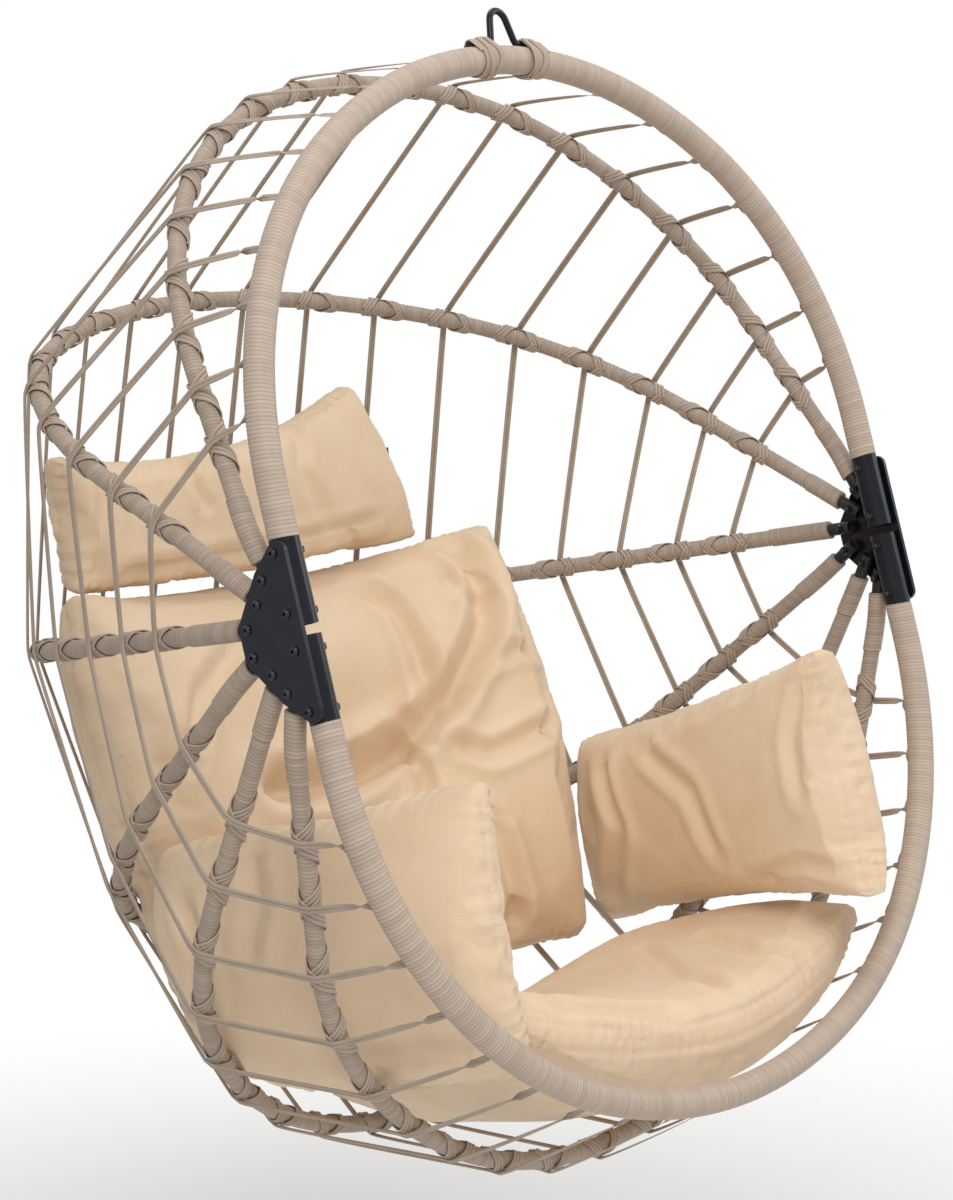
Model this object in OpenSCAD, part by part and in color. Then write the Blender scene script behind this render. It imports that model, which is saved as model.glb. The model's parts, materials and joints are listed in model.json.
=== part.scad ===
// Hanging egg chair. An oval front ring in two halves meets two hub plates, six bent ribs
// fan out behind it from hub to hub, and nineteen cords lace the ribs into a basket that
// holds five loose cushions. Millimetres, +Z up, front towards -Y. The origin is the inside
// top of the hanging loop, and the basket hangs leaned back as it does when it is in use.

/* [Hanging] */
// Lean of the front ring from upright, in degrees
ring_lean = 17.3; // [10:0.1:24]
// Diameter of the rod that the hanging loop is bent from
loop_rod_d = 8; // [6:0.5:10]
// Bend radius at the top of the hanging loop, to the rod's centre
loop_bend_r = 14; // [11:1:15]
// Distance from the middle of the ring to where each loop foot starts
loop_foot_x = 28; // [27:1:32]
// Splay of the loop's legs from upright, in degrees
loop_splay = 15; // [12:1:18]
// Length of each loop foot along the ring
loop_foot_len = 32; // [24:1:40]

/* [Front ring] */
// Half the width of the ring, from the middle to a side tube's centre
ring_half_w = 515; // [495:1:560]
// Straight side of the upper half, above the hub's centre
upper_leg = 142; // [125:1:180]
// Corner radius of the upper half
upper_corner_r = 434; // [400:1:460]
// Turn of each corner of the upper half, in degrees
upper_corner_turn = 55; // [45:1:65]
// Straight side of the lower half, below the hub's centre
lower_leg = 128; // [120:1:160]
// Corner radius of the lower half
lower_corner_r = 452; // [420:1:480]
// Turn of each corner of the lower half, in degrees
lower_corner_turn = 69.5; // [60:0.5:76]
// Outer diameter of the ring's steel tube
ring_tube_d = 28; // [24:1:30]
// Wall of the ring's steel tube
ring_tube_wall = 1.5; // [1:0.1:2.5]
// Thickness of the flat cord wound on the ring
ring_wrap_t = 2.5; // [1.5:0.1:4]
// Gap between the two halves of the ring inside the hub
ring_end_gap = 16; // [12:1:24]

/* [Ribs] */
// Outer diameter of a rib's steel tube
rib_tube_d = 16; // [14:1:17]
// Wall of a rib's steel tube
rib_tube_wall = 1.2; // [1:0.1:2]
// Thickness of the flat cord wound on a rib
rib_wrap_t = 2.4; // [1.5:0.1:3]
// Extra thickness of the second winding beside each hub
rib_rewrap_t = 1.3; // [0.5:0.1:2]
// Length of the second winding along the rib after its heel bend
rib_rewrap_len = 22; // [10:1:40]
// Straight end of a rib, from its hub bolt to the heel bend
rib_leg = 45; // [38:1:60]
// Length of tube behind the hub bolt
rib_tail = 12; // [9:1:14]
// Bare tube from the hub bolt to the start of the winding
rib_bare_len = 19; // [16:1:26]
// Radius of the heel bend beside each hub
rib_heel_r = 150; // [120:5:200]

/* [Rib 1] */
// Rise of the rib from level in the basket, in degrees
rib_1_angle = 72; // [70:0.5:76]
// Turn of the heel bend, in degrees
rib_1_heel = 10; // [6:1:12]
// Straight length after the heel bend
rib_1_side = 170; // [140:1:190]
// Corner radius
rib_1_corner_r = 445; // [400:1:480]
// Corner turn, in degrees
rib_1_corner_turn = 62; // [55:1:68]

/* [Rib 2] */
// Rise of the rib from level in the basket, in degrees
rib_2_angle = 40.5; // [36:0.5:44]
// Turn of the heel bend, in degrees
rib_2_heel = 2; // [1:1:6]
// Straight length after the heel bend
rib_2_side = 218; // [190:1:240]
// Corner radius
rib_2_corner_r = 375; // [350:1:420]
// Corner turn, in degrees
rib_2_corner_turn = 58; // [50:1:64]

/* [Rib 3] */
// Rise of the rib from level in the basket, in degrees
rib_3_angle = 6; // [3:0.5:9]
// Turn of the heel bend, in degrees
rib_3_heel = 15; // [12:1:17]
// Straight length after the heel bend
rib_3_side = 300; // [280:1:320]
// Corner radius
rib_3_corner_r = 490; // [460:1:520]
// Corner turn, in degrees
rib_3_corner_turn = 54; // [48:1:58]

/* [Rib 4] */
// Fall of the rib from level in the basket, in degrees
rib_4_angle = 25; // [22:0.5:28]
// Turn of the heel bend, in degrees
rib_4_heel = 9; // [6:1:11]
// Straight length after the heel bend
rib_4_side = 201; // [185:1:220]
// Corner radius
rib_4_corner_r = 507; // [480:1:530]
// Corner turn, in degrees
rib_4_corner_turn = 47; // [42:1:52]

/* [Rib 5] */
// Fall of the rib from level in the basket, in degrees
rib_5_angle = 49.5; // [46:0.5:53]
// Turn of the heel bend, in degrees
rib_5_heel = 2; // [1:1:5]
// Straight length after the heel bend
rib_5_side = 227; // [210:1:245]
// Corner radius
rib_5_corner_r = 374; // [350:1:400]
// Corner turn, in degrees
rib_5_corner_turn = 37; // [32:1:44]

/* [Rib 6] */
// Fall of the rib from level in the basket, in degrees
rib_6_angle = 70; // [68:0.5:74]
// Turn of the heel bend, in degrees
rib_6_heel = 10; // [7:1:12]
// Straight length after the heel bend
rib_6_side = 203; // [185:1:220]
// Corner radius
rib_6_corner_r = 346; // [320:1:370]
// Corner turn, in degrees
rib_6_corner_turn = 34; // [30:1:40]

/* [Hubs] */
// Thickness of a hub plate
hub_plate_t = 5; // [3:0.5:7]
// Metal between a bolt's centre and the edge of the plate
hub_margin = 12; // [10:0.5:15]
// Distance from the ring's centre line to the plate's front edge
hub_front = 17; // [15:0.5:22]
// Outer diameter of the sleeve tubes on a hub
sleeve_d = 32; // [31:0.5:36]
// Clearance all round between a sleeve and the ring tube in it
sleeve_clearance = 0.2; // [0.1:0.05:0.4]
// Height of a sleeve's far end above or below the hub's centre
sleeve_end = 95; // [92:1:110]
// Slot between the upper and lower sleeve
sleeve_slot = 11; // [8:1:14]
// Height of the inner sleeve bolts above or below the hub's centre
sleeve_bolt_near = 19; // [16:1:26]
// Height of the outer sleeve bolts above or below the hub's centre
sleeve_bolt_far = 81; // [74:1:84]
// Distance of the rib 1 and rib 6 bolts behind the ring
outer_rib_bolt_y = 24; // [23.5:0.5:27]
// Height of the rib 1 and rib 6 bolts above or below the hub's centre
outer_rib_bolt_z = 58; // [56:0.5:60]
// Distance of the rib 2 and rib 5 bolts behind the ring
middle_rib_bolt_y = 39; // [37:0.5:40]
// Height of the rib 2 and rib 5 bolts above or below the hub's centre
middle_rib_bolt_z = 36; // [35:0.5:38]
// Distance of the rib 3 and rib 4 bolts behind the ring
inner_rib_bolt_y = 60; // [58:0.5:64]
// Height of the rib 3 and rib 4 bolts above or below the hub's centre
inner_rib_bolt_z = 14.4; // [13:0.2:16]

/* [Bolts] */
// Shank diameter of every bolt
bolt_d = 6; // [5:0.5:6.5]
// Clearance all round between a shank and its holes
bolt_clearance = 0.25; // [0.1:0.05:0.5]
// Diameter of a button head
bolt_head_d = 11; // [10:0.5:12]
// Height of a button head
bolt_head_h = 3.6; // [3:0.2:5]
// Hexagon key socket in a head, across corners
bolt_socket_d = 4.6; // [4:0.2:5.5]
// Width of a domed nut across corners
nut_d = 11; // [10:0.5:12]
// Height of a domed nut
nut_h = 8; // [7:0.5:10]

/* [Lacing] */
// Number of lacing cords
lace_count = 19; // [15:2:19]
// Width of a lacing cord, two strands side by side
lace_d = 5.6; // [4:0.2:7]
// Part of the ring's half length that the cords spread over
lace_ring_share = 0.75; // [0.68:0.01:0.78]
// Part of a rib's half length that the cords spread over
lace_rib_share = 0.83; // [0.76:0.01:0.85]
// How much the cords close up towards the hubs
lace_closing = 0.08; // [0:0.01:0.15]
// How far hand lacing shifts the top hoops' middle cords towards the left hub
lace_shift = 40; // [0:1:45]
// How many hoops from the top are shifted so
shifted_hoops = 3; // [1:1:4]
// Thickness of a lashing round a rib
lashing_t = 2.5; // [1.5:0.1:4]
// Length of a lashing along its rib
lashing_len = 17; // [12:1:24]
// Diameter of the knot on the outside of a lashing
knot_d = 9; // [7:0.5:11]
// Length of that knot along its rib
knot_len = 12; // [8:1:14]

/* [Seat cushion] */
// Width of the seat cushion
seat_w = 620; // [560:5:630]
// Depth of the seat cushion, front to back
seat_depth = 470; // [430:5:480]
// Thickness of the seat cushion at its crown
seat_t = 128; // [110:5:150]
// Radius that the seat cushion's sides curl up to
seat_curl_r = 520; // [490:10:900]
// Rise of the seat cushion towards the back, in degrees
seat_tilt = -1; // [-2:0.5:4]

/* [Back cushion] */
// Width of the back cushion
back_w = 770; // [720:5:775]
// Height of the back cushion
back_h = 570; // [530:5:575]
// Thickness of the back cushion at its crown
back_t = 245; // [180:5:250]
// Radius that the back cushion's sides curl forward to
back_curl_r = 490; // [480:10:900]
// Lean of the back cushion's top towards the back, in degrees
back_tilt = 8; // [4:1:14]
// Distance of the sewn tuft from the middle, towards the right arm pillow
tuft_x = 44; // [-80:2:80]
// Height of the sewn tuft above the middle
tuft_y = 40; // [-80:2:80]
// Depth of the sewn tuft
tuft_depth = 62; // [30:2:80]
// Radius of the dimple round the tuft
tuft_spread = 62; // [40:2:90]

/* [Pillows] */
// Width of the head pillow
head_w = 560; // [480:5:570]
// Height of the head pillow
head_h = 200; // [180:5:210]
// Thickness of the head pillow at its crown
head_t = 100; // [80:5:105]
// Length of an arm pillow, front to back
arm_l = 450; // [400:5:455]
// Height of an arm pillow
arm_h = 300; // [270:5:305]
// Thickness of an arm pillow at its crown
arm_t = 130; // [105:5:135]
// Lean of the head pillow towards the front, in degrees
head_tilt = 15; // [0:1:20]
// Roll of the head pillow, its right end up, in degrees
head_roll = 6; // [0:0.5:8]
// Inward turn of the right arm pillow's back end, in degrees
right_arm_yaw = 22; // [14:1:24]
// Rise of the right arm pillow's back end, in degrees
right_arm_roll = 0; // [-4:1:4]
// Inward turn of the left arm pillow's front end, in degrees
left_arm_yaw = 17; // [10:1:20]
// Rise of the left arm pillow's back end, in degrees
left_arm_roll = 6; // [0:1:10]
// Width of the seam wall round each cushion
cushion_edge = 30; // [20:1:36]

/* [Hidden] */
round_fn = 64;                // facets round a tube
sweep_fn = 180;               // facets round a whole turn of a bend
$fn = round_fn;
STEEL = "#23282b";
RATTAN = "#b8a593";
CORD = "#8f8577";
CLOTH = "#e6c8a0";

overcut = 1;
half_turn = 180;
weld = 1;                     // depth that a sleeve is let into its plate
wrap_play = 0.3;              // a winding stands this far off its tube
snug = 0.1;                   // a domed nut's bore is this much wider than its shank
tuck = 0.05;                  // a plate's straight sides run this far inside its round corners
lap = 0.25;                   // a bend's wall stands this far outside the wall of the straights
lap_len = 1;                  // and laps over them by this length
off_middle = 0.02;            // the middle cord stands this share of the spacing off the middle
lace_half = (lace_count - 1) / 2;

ring_wrap_d = ring_tube_d + 2 * ring_wrap_t;
rib_wrap_d = rib_tube_d + 2 * rib_wrap_t;
rib_rewrap_d = rib_wrap_d + 2 * rib_rewrap_t;
plate_in = ring_half_w + sleeve_d / 2 - weld;
plate_out = plate_in + hub_plate_t;
rib_half_w = plate_in - rib_tube_d / 2;

// A hoop is [half width, straight end, heel radius, heel turn, side, corner radius, corner
// turn, hub bolt y, hub bolt z, angle]. It lies in its own plane, x across and u away from
// the hubs, and its back is one arc that closes it.
UPPER = [ring_half_w, upper_leg, 1, 0, 0, upper_corner_r, upper_corner_turn, 0, 0, 90];
LOWER = [ring_half_w, lower_leg, 1, 0, 0, lower_corner_r, lower_corner_turn, 0, 0, -90];
RIBS = [
    [rib_half_w, rib_leg, rib_heel_r, rib_1_heel, rib_1_side, rib_1_corner_r,
        rib_1_corner_turn, outer_rib_bolt_y, outer_rib_bolt_z, rib_1_angle],
    [rib_half_w, rib_leg, rib_heel_r, rib_2_heel, rib_2_side, rib_2_corner_r,
        rib_2_corner_turn, middle_rib_bolt_y, middle_rib_bolt_z, rib_2_angle],
    [rib_half_w, rib_leg, rib_heel_r, rib_3_heel, rib_3_side, rib_3_corner_r,
        rib_3_corner_turn, inner_rib_bolt_y, inner_rib_bolt_z, rib_3_angle],
    [rib_half_w, rib_leg, rib_heel_r, rib_4_heel, rib_4_side, rib_4_corner_r,
        rib_4_corner_turn, inner_rib_bolt_y, -inner_rib_bolt_z, -rib_4_angle],
    [rib_half_w, rib_leg, rib_heel_r, rib_5_heel, rib_5_side, rib_5_corner_r,
        rib_5_corner_turn, middle_rib_bolt_y, -middle_rib_bolt_z, -rib_5_angle],
    [rib_half_w, rib_leg, rib_heel_r, rib_6_heel, rib_6_side, rib_6_corner_r,
        rib_6_corner_turn, outer_rib_bolt_y, -outer_rib_bolt_z, -rib_6_angle]
];
HOOPS = concat([UPPER], RIBS, [LOWER]);
last_hoop = len(HOOPS) - 1;

function heel_centre(h) = [h[0] - h[2], h[1]];
function heel_end(h) = heel_centre(h) + h[2] * [cos(h[3]), sin(h[3])];
function side_end(h) = heel_end(h) + h[4] * [-sin(h[3]), cos(h[3])];
function corner_centre(h) = side_end(h) - h[5] * [cos(h[3]), sin(h[3])];
function back_start(h) = h[3] + h[6];
function back_edge(h) = corner_centre(h) + h[5] * [cos(back_start(h)), sin(back_start(h))];
function back_r(h) = back_edge(h)[0] / cos(back_start(h));
function back_centre(h) = [0, back_edge(h)[1] - back_r(h) * sin(back_start(h))];
function hoop_depth(h) = back_centre(h)[1] + back_r(h);

function arc_len(r, turn) = r * turn * PI / half_turn;
function arc_turn(r, length) = length / r * half_turn / PI;
function back_len(h) = arc_len(back_r(h), 90 - back_start(h));
function corner_len(h) = arc_len(h[5], h[6]);
function heel_len(h) = arc_len(h[2], h[3]);
function half_len(h) = back_len(h) + corner_len(h) + h[4] + heel_len(h) + h[1];

// [x, u, direction of the outward normal] at distance s from the middle of a hoop
function on_arc(c, r, a) = [c[0] + r * cos(a), c[1] + r * sin(a), a];
function right_half(h, s) =
    let (b = back_len(h), c = b + corner_len(h), d = c + h[4], e = d + heel_len(h))
    s <= b ? on_arc(back_centre(h), back_r(h), 90 - arc_turn(back_r(h), s)) :
    s <= c ? on_arc(corner_centre(h), h[5], back_start(h) - arc_turn(h[5], s - b)) :
    s <= d ? concat(side_end(h) - (s - c) * [-sin(h[3]), cos(h[3])], h[3]) :
    s <= e ? on_arc(heel_centre(h), h[2], h[3] - arc_turn(h[2], s - d)) :
    [h[0], h[1] - (s - e), 0];
function on_hoop(h, s) =
    let (p = right_half(h, abs(s))) s >= 0 ? p : [-p[0], p[1], half_turn - p[2]];

// A point off a hoop by "out" along its outward normal, in the basket's own frame
function in_basket(h, p) = [p[0], h[7] + p[1] * cos(h[9]), h[8] + p[1] * sin(h[9])];
function off_hoop(h, s, out) =
    let (p = on_hoop(h, s))
    in_basket(h, [p[0] + out * cos(p[2]), p[1] + out * sin(p[2])]);

// Distance of cord k from the middle of hoop i, closing up towards the hubs
function is_ring(i) = i == 0 || i == last_hoop;
function lace_s(i, k, side) =
    let (t = k / lace_half, share = is_ring(i) ? lace_ring_share : lace_rib_share)
    share * half_len(HOOPS[i]) * ((1 + lace_closing) * t - lace_closing * t * t * t)
    + (i < shifted_hoops ? side * lace_shift * (1 - t * t) : 0);
ring_knot_out = ring_wrap_d / 2 + wrap_play;
function on_foot_wrap(i, s) = i == 0
    && abs(abs(s) - loop_foot_x - loop_foot_len / 2) < (loop_foot_len + knot_d) / 2;
function knot_out(i, s) = ring_knot_out + (on_foot_wrap(i, s) ? rib_wrap_t + wrap_play : 0);
lace_out = rib_wrap_d / 2 + lashing_t + lace_d / 2;
function lace_end(i, k, side) = is_ring(i)
    ? off_hoop(HOOPS[i], lace_s(i, k, side), 0)
        + [0, knot_out(i, lace_s(i, k, side)) + lace_d / 2, 0]
    : off_hoop(HOOPS[i], lace_s(i, k, side), lace_out);

// The hanging loop, in the ring's plane: two feet that follow the ring, two toe bends, two
// splayed legs and one bend over the top
foot_out = ring_tube_d / 2 + loop_rod_d / 2 + wrap_play;
foot_r = back_r(UPPER) + foot_out;
foot_fall = asin(loop_foot_x / foot_r);
foot_turn = arc_turn(foot_r, loop_foot_len);
loop_toe_r = loop_rod_d + 1;
toe_centre = back_centre(UPPER) + (foot_r + loop_toe_r) * [sin(foot_fall), cos(foot_fall)];
leg_foot = toe_centre - loop_toe_r * [cos(loop_splay), sin(loop_splay)];
leg_len = (leg_foot[0] - loop_bend_r * cos(loop_splay)) / sin(loop_splay);
bend_centre = leg_foot + leg_len * [-sin(loop_splay), cos(loop_splay)]
    - loop_bend_r * [cos(loop_splay), sin(loop_splay)];
toe_turn = 90 - loop_splay + foot_fall;
loop_inside = bend_centre[1] + loop_bend_r - loop_rod_d / 2;

module hung() {
    rotate([-ring_lean, 0, 0]) translate([0, 0, -loop_inside]) children();
}

module place_hoop(h) {
    translate([0, h[7], h[8]]) rotate([h[9], 0, 0]) children();
}

module both_sides() {
    children();
    mirror([1, 0, 0]) children();
}

module wall_2d(outer, inner) {
    difference() {
        circle(d = outer, $fn = round_fn);
        circle(d = inner, $fn = round_fn);
    }
}

module straight_tube(p, a, length, outer, inner) {
    translate([p[0], p[1], 0]) rotate([0, 0, a]) rotate([-90, 0, 0])
        linear_extrude(length) wall_2d(outer, inner);
}

module arc_tube(centre, r, from, turn, outer, inner) {
    translate([centre[0], centre[1], 0]) rotate([0, 0, from])
        rotate_extrude(angle = turn, $fn = sweep_fn) translate([r, 0]) wall_2d(outer, inner);
}

module lapped_bend(centre, r, from, turn, outer, inner) {
    over = arc_turn(r, lap_len);
    arc_tube(centre, r, from - over, turn + 2 * over, outer + 2 * lap, inner + 2 * lap);
}

// A tube or winding along a whole hoop, from "start" past the hub bolt on each side
module hoop_tube(h, start, outer, inner) {
    both_sides() {
        straight_tube([h[0], start], 0, h[1] - start, outer, inner);
        if (h[3] > 0) lapped_bend(heel_centre(h), h[2], 0, h[3], outer, inner);
        if (h[4] > 0) straight_tube(heel_end(h), h[3], h[4], outer, inner);
        lapped_bend(corner_centre(h), h[5], h[3], h[6], outer, inner);
    }
    arc_tube(back_centre(h), back_r(h), back_start(h), half_turn - 2 * back_start(h),
        outer, inner);
}

module bolt_hole(y, z) {
    translate([0, y, z]) rotate([0, 90, 0])
        cylinder(d = bolt_d + 2 * bolt_clearance, h = 2 * (plate_out + overcut), center = true);
}

module ring_tube(h, side) {
    difference() {
        place_hoop(h) hoop_tube(h, ring_end_gap / 2, ring_tube_d, ring_tube_d - 2 * ring_tube_wall);
        bolt_hole(0, side * sleeve_bolt_near);
        bolt_hole(0, side * sleeve_bolt_far);
    }
}

module upper_ring_tube() { color(STEEL) hung() ring_tube(UPPER, 1); }
module lower_ring_tube() { color(STEEL) hung() ring_tube(LOWER, -1); }

module ring_winding(h) {
    place_hoop(h) hoop_tube(h, sleeve_end + wrap_play, ring_wrap_d, ring_tube_d + 2 * wrap_play);
}

module upper_ring_wrap() {
    color(RATTAN) hung() difference() {
        ring_winding(UPPER);
        place_hoop(UPPER) both_sides() {
            loop_foot(loop_rod_d + 2 * wrap_play);
            loop_toe(loop_rod_d + 2 * wrap_play);
        }
    }
}

module lower_ring_wrap() { color(RATTAN) hung() ring_winding(LOWER); }

module rib_tube(i) {
    h = RIBS[i];
    color(STEEL) hung() difference() {
        place_hoop(h) hoop_tube(h, -rib_tail, rib_tube_d, rib_tube_d - 2 * rib_tube_wall);
        bolt_hole(h[7], h[8]);
        sleeve_room();
    }
}

// The outer ribs' tube ends are cut to a saddle where they pass the sleeves
module sleeve_room() {
    both_sides() translate([ring_half_w, 0, -sleeve_end])
        cylinder(d = sleeve_d + 4 * sleeve_clearance, h = 2 * sleeve_end);
}

module rib_wrap(i) {
    h = RIBS[i];
    over = rib_bare_len + lap_len;
    under_d = rib_tube_d + rib_wrap_t;
    color(RATTAN) hung() place_hoop(h) {
        hoop_tube(h, rib_bare_len, rib_wrap_d, rib_tube_d + 2 * wrap_play);
        both_sides() {
            straight_tube([h[0], over], 0, rib_leg - over, rib_rewrap_d, under_d);
            lapped_bend(heel_centre(h), h[2], 0, h[3], rib_rewrap_d, under_d);
            straight_tube(heel_end(h), h[3], rib_rewrap_len, rib_rewrap_d, under_d);
        }
    }
}

// A convex outline with round corners of radius r about its points, listed anticlockwise
function edge_out(a, b) = let (d = b - a) [d[1], -d[0]] / norm(d);
module round_outline(points, r) {
    n = len(points);
    polygon([for (i = [0:n - 1], j = [n - 1, 0])
        points[i] + (r - tuck) * (j == 0
            ? edge_out(points[i], points[(i + 1) % n])
            : edge_out(points[(i + n - 1) % n], points[i]))]);
    for (p = points) translate(p) circle(r);
}

module hub_plate() {
    front = hub_margin - hub_front;
    outline = [
        [front, -sleeve_bolt_far], [outer_rib_bolt_y, -outer_rib_bolt_z],
        [inner_rib_bolt_y, -inner_rib_bolt_z], [inner_rib_bolt_y, inner_rib_bolt_z],
        [outer_rib_bolt_y, outer_rib_bolt_z], [front, sleeve_bolt_far]
    ];
    translate([plate_in, 0, 0]) rotate([90, 0, 90])
        linear_extrude(hub_plate_t) round_outline(outline, hub_margin);
}

module sleeve() {
    translate([ring_half_w, 0, sleeve_slot / 2])
        linear_extrude(sleeve_end - sleeve_slot / 2)
            wall_2d(sleeve_d, ring_tube_d + 2 * sleeve_clearance);
}

module hub(side) {
    color(STEEL) hung() on_side(side) difference() {
        union() {
            hub_plate();
            sleeve();
            mirror([0, 0, 1]) sleeve();
        }
        for (z = ring_bolt_z) bolt_hole(0, z);
        for (h = RIBS) bolt_hole(h[7], h[8]);
    }
}

module on_side(side) {
    if (side >= 0) children();
    else mirror([1, 0, 0]) children();
}

module left_hub() { hub(-1); }
module right_hub() { hub(1); }

module bolt(y, z, grip_in) {
    crown = 0.6;
    translate([0, y, z]) rotate([0, 90, 0]) {
        translate([0, 0, grip_in - nut_h / 2]) cylinder(d = bolt_d, h = plate_out - grip_in + nut_h / 2);
        translate([0, 0, plate_out]) difference() {
            union() {
                cylinder(d = bolt_head_d, h = bolt_head_h * (1 - crown));
                translate([0, 0, bolt_head_h * (1 - crown)])
                    cylinder(d1 = bolt_head_d, d2 = bolt_head_d * crown, h = bolt_head_h * crown);
            }
            translate([0, 0, bolt_head_h * (1 - crown)])
                cylinder(d = bolt_socket_d, h = bolt_head_h, $fn = 6);
        }
    }
}

module domed_nut(y, z, grip_in) {
    hex_h = 0.55 * nut_h;
    translate([0, y, z]) rotate([0, 90, 0]) translate([0, 0, grip_in]) mirror([0, 0, 1]) difference() {
        union() {
            cylinder(d = nut_d, h = hex_h, $fn = 6);
            translate([0, 0, hex_h]) intersection() {
                sphere(d = 2 * (nut_h - hex_h) + snug);
                cylinder(d = nut_d, h = nut_h);
            }
        }
        translate([0, 0, -overcut]) cylinder(d = bolt_d + snug, h = nut_h / 2 + overcut + snug);
    }
}

ring_bolt_z = [sleeve_bolt_far, sleeve_bolt_near, -sleeve_bolt_near, -sleeve_bolt_far];
ring_grip = ring_half_w - sleeve_d / 2;
rib_grip = plate_in - rib_tube_d;

module ring_bolts(side) {
    color(STEEL) hung() on_side(side)
        for (z = ring_bolt_z) bolt(0, z, ring_grip);
}

module ring_nuts(side) {
    color(STEEL) hung() on_side(side)
        for (z = ring_bolt_z) domed_nut(0, z, ring_grip);
}

module rib_bolts(side) { color(STEEL) hung() on_side(side) for (h = RIBS) bolt(h[7], h[8], rib_grip); }
module rib_nuts(side) { color(STEEL) hung() on_side(side) for (h = RIBS) domed_nut(h[7], h[8], rib_grip); }

module bent_rod(centre, r, from, turn, d) {
    translate([centre[0], centre[1], 0]) rotate([0, 0, from])
        rotate_extrude(angle = turn, $fn = sweep_fn) translate([r, 0]) circle(d = d, $fn = round_fn);
}

module loop_foot(d) {
    over = arc_turn(foot_r, lap_len);
    bent_rod(back_centre(UPPER), foot_r, 90 - foot_fall - foot_turn, foot_turn + over, d + lap);
}

module loop_toe(d) { bent_rod(toe_centre, loop_toe_r, half_turn + loop_splay, toe_turn, d); }

module hanging_loop() {
    stout = loop_rod_d + lap;
    color(STEEL) hung() place_hoop(UPPER) {
        bent_rod(bend_centre, loop_bend_r, loop_splay, half_turn - 2 * loop_splay, loop_rod_d);
        both_sides() {
            translate([leg_foot[0], leg_foot[1], 0]) rotate([0, 0, loop_splay]) rotate([-90, 0, 0])
                translate([0, 0, -lap_len]) cylinder(d = stout, h = leg_len + 2 * lap_len);
            loop_toe(loop_rod_d);
            loop_foot(loop_rod_d);
        }
    }
}

// The winding that binds each foot of the loop down on the ring
module foot_band_2d(r_ring, r_foot) {
    d = foot_out;
    a = acos((r_ring - r_foot) / d);
    circle(r_ring, $fn = round_fn);
    translate([d, 0]) circle(r_foot, $fn = round_fn);
    polygon([r_ring * [cos(a), sin(a)], r_ring * [cos(a), -sin(a)],
        [d + r_foot * cos(a), -r_foot * sin(a)], [d + r_foot * cos(a), r_foot * sin(a)]]);
}

module loop_foot_wraps() {
    turn = foot_turn;
    r_in = ring_wrap_d / 2 + wrap_play;
    foot_in = loop_rod_d / 2 + 1.6;
    color(RATTAN) hung() place_hoop(UPPER) both_sides()
        translate([0, back_centre(UPPER)[1], 0]) rotate([0, 0, 90 - foot_fall - turn])
            rotate_extrude(angle = turn, $fn = sweep_fn) translate([back_r(UPPER), 0]) difference() {
                foot_band_2d(r_in + rib_wrap_t, foot_in + rib_wrap_t);
                foot_band_2d(r_in, foot_in);
            }
}

module rod(a, b, d) {
    v = b - a;
    translate(a) rotate([0, acos(v[2] / norm(v)), atan2(v[1], v[0])]) cylinder(d = d, h = norm(v));
}

// A short piece along a rib, centred on distance s and off the rib's centre line by "out"
module along_rib(h, s, out) {
    p = on_hoop(h, s);
    place_hoop(h) translate([p[0] + out * cos(p[2]), p[1] + out * sin(p[2]), 0])
        rotate([0, 0, p[2]]) rotate([-90, 0, 0]) children();
}

module lacing(n) {
    k = -max(off_middle, abs(n - 1 - lace_half));
    side = n > lace_half + 1 ? 1 : -1;
    color(CORD) hung() on_side(lace_half + 1 - n) {
        for (i = [0:last_hoop - 1]) rod(lace_end(i, k, side), lace_end(i + 1, k, side), lace_d);
        for (i = [1:last_hoop - 1]) {
            along_rib(HOOPS[i], lace_s(i, k, side), 0) linear_extrude(lashing_len, center = true)
                wall_2d(rib_wrap_d + 2 * lashing_t, rib_wrap_d + 2 * (lap + wrap_play));
            along_rib(HOOPS[i], lace_s(i, k, side), lace_out)
                cylinder(d = knot_d, h = knot_len, center = true);
        }
        for (i = [0, last_hoop])
            translate(off_hoop(HOOPS[i], lace_s(i, k, side), 0)
                    + [0, knot_out(i, lace_s(i, k, side)), 0])
                rotate([-90, 0, 0]) cylinder(d = knot_d, h = lace_d);
    }
}

// A stuffed cushion: width on x, height on y, crown on z. "cuts" are the shares by which the
// sides and then the top and bottom are cut back in their middles and at their ends, "taper"
// widens the top and narrows the bottom, and a tuft is [x, y, depth, spread]. "push" is how
// far the way it lies pushes it out of shape: rows from its top down, each from its left to
// its right, of [across, up, out] at the corners, the edges' middles and the centre.
cells = 18;
plumpness = 0.8;
function spaced(i) = sin(half_turn * i / cells - 90);
function cut_back(middle, end, v) = 1 - middle * (1 - v * v) - end * v * v;
function from_rim(u, v) = max(0, (1 - u * u) * (1 - v * v));
function tuft_dip(x, y, t) =
    t[2] == 0 ? 0 : t[2] * exp(-(pow(x - t[0], 2) + pow(y - t[1], 2)) / (2 * t[3] * t[3]));
function half_thick(u, v, t) =
    cushion_edge / 2 + (t - cushion_edge) / 2 * pow(from_rim(u, v), plumpness / 2);
function bulge(t) = [t * (t - 1) / 2, 1 - t * t, t * (t + 1) / 2];
function pushed(u, v, push) =
    let (rows = [for (row = push) bulge(u) * row], b = bulge(v)) [b[2], b[1], b[0]] * rows;
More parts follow.
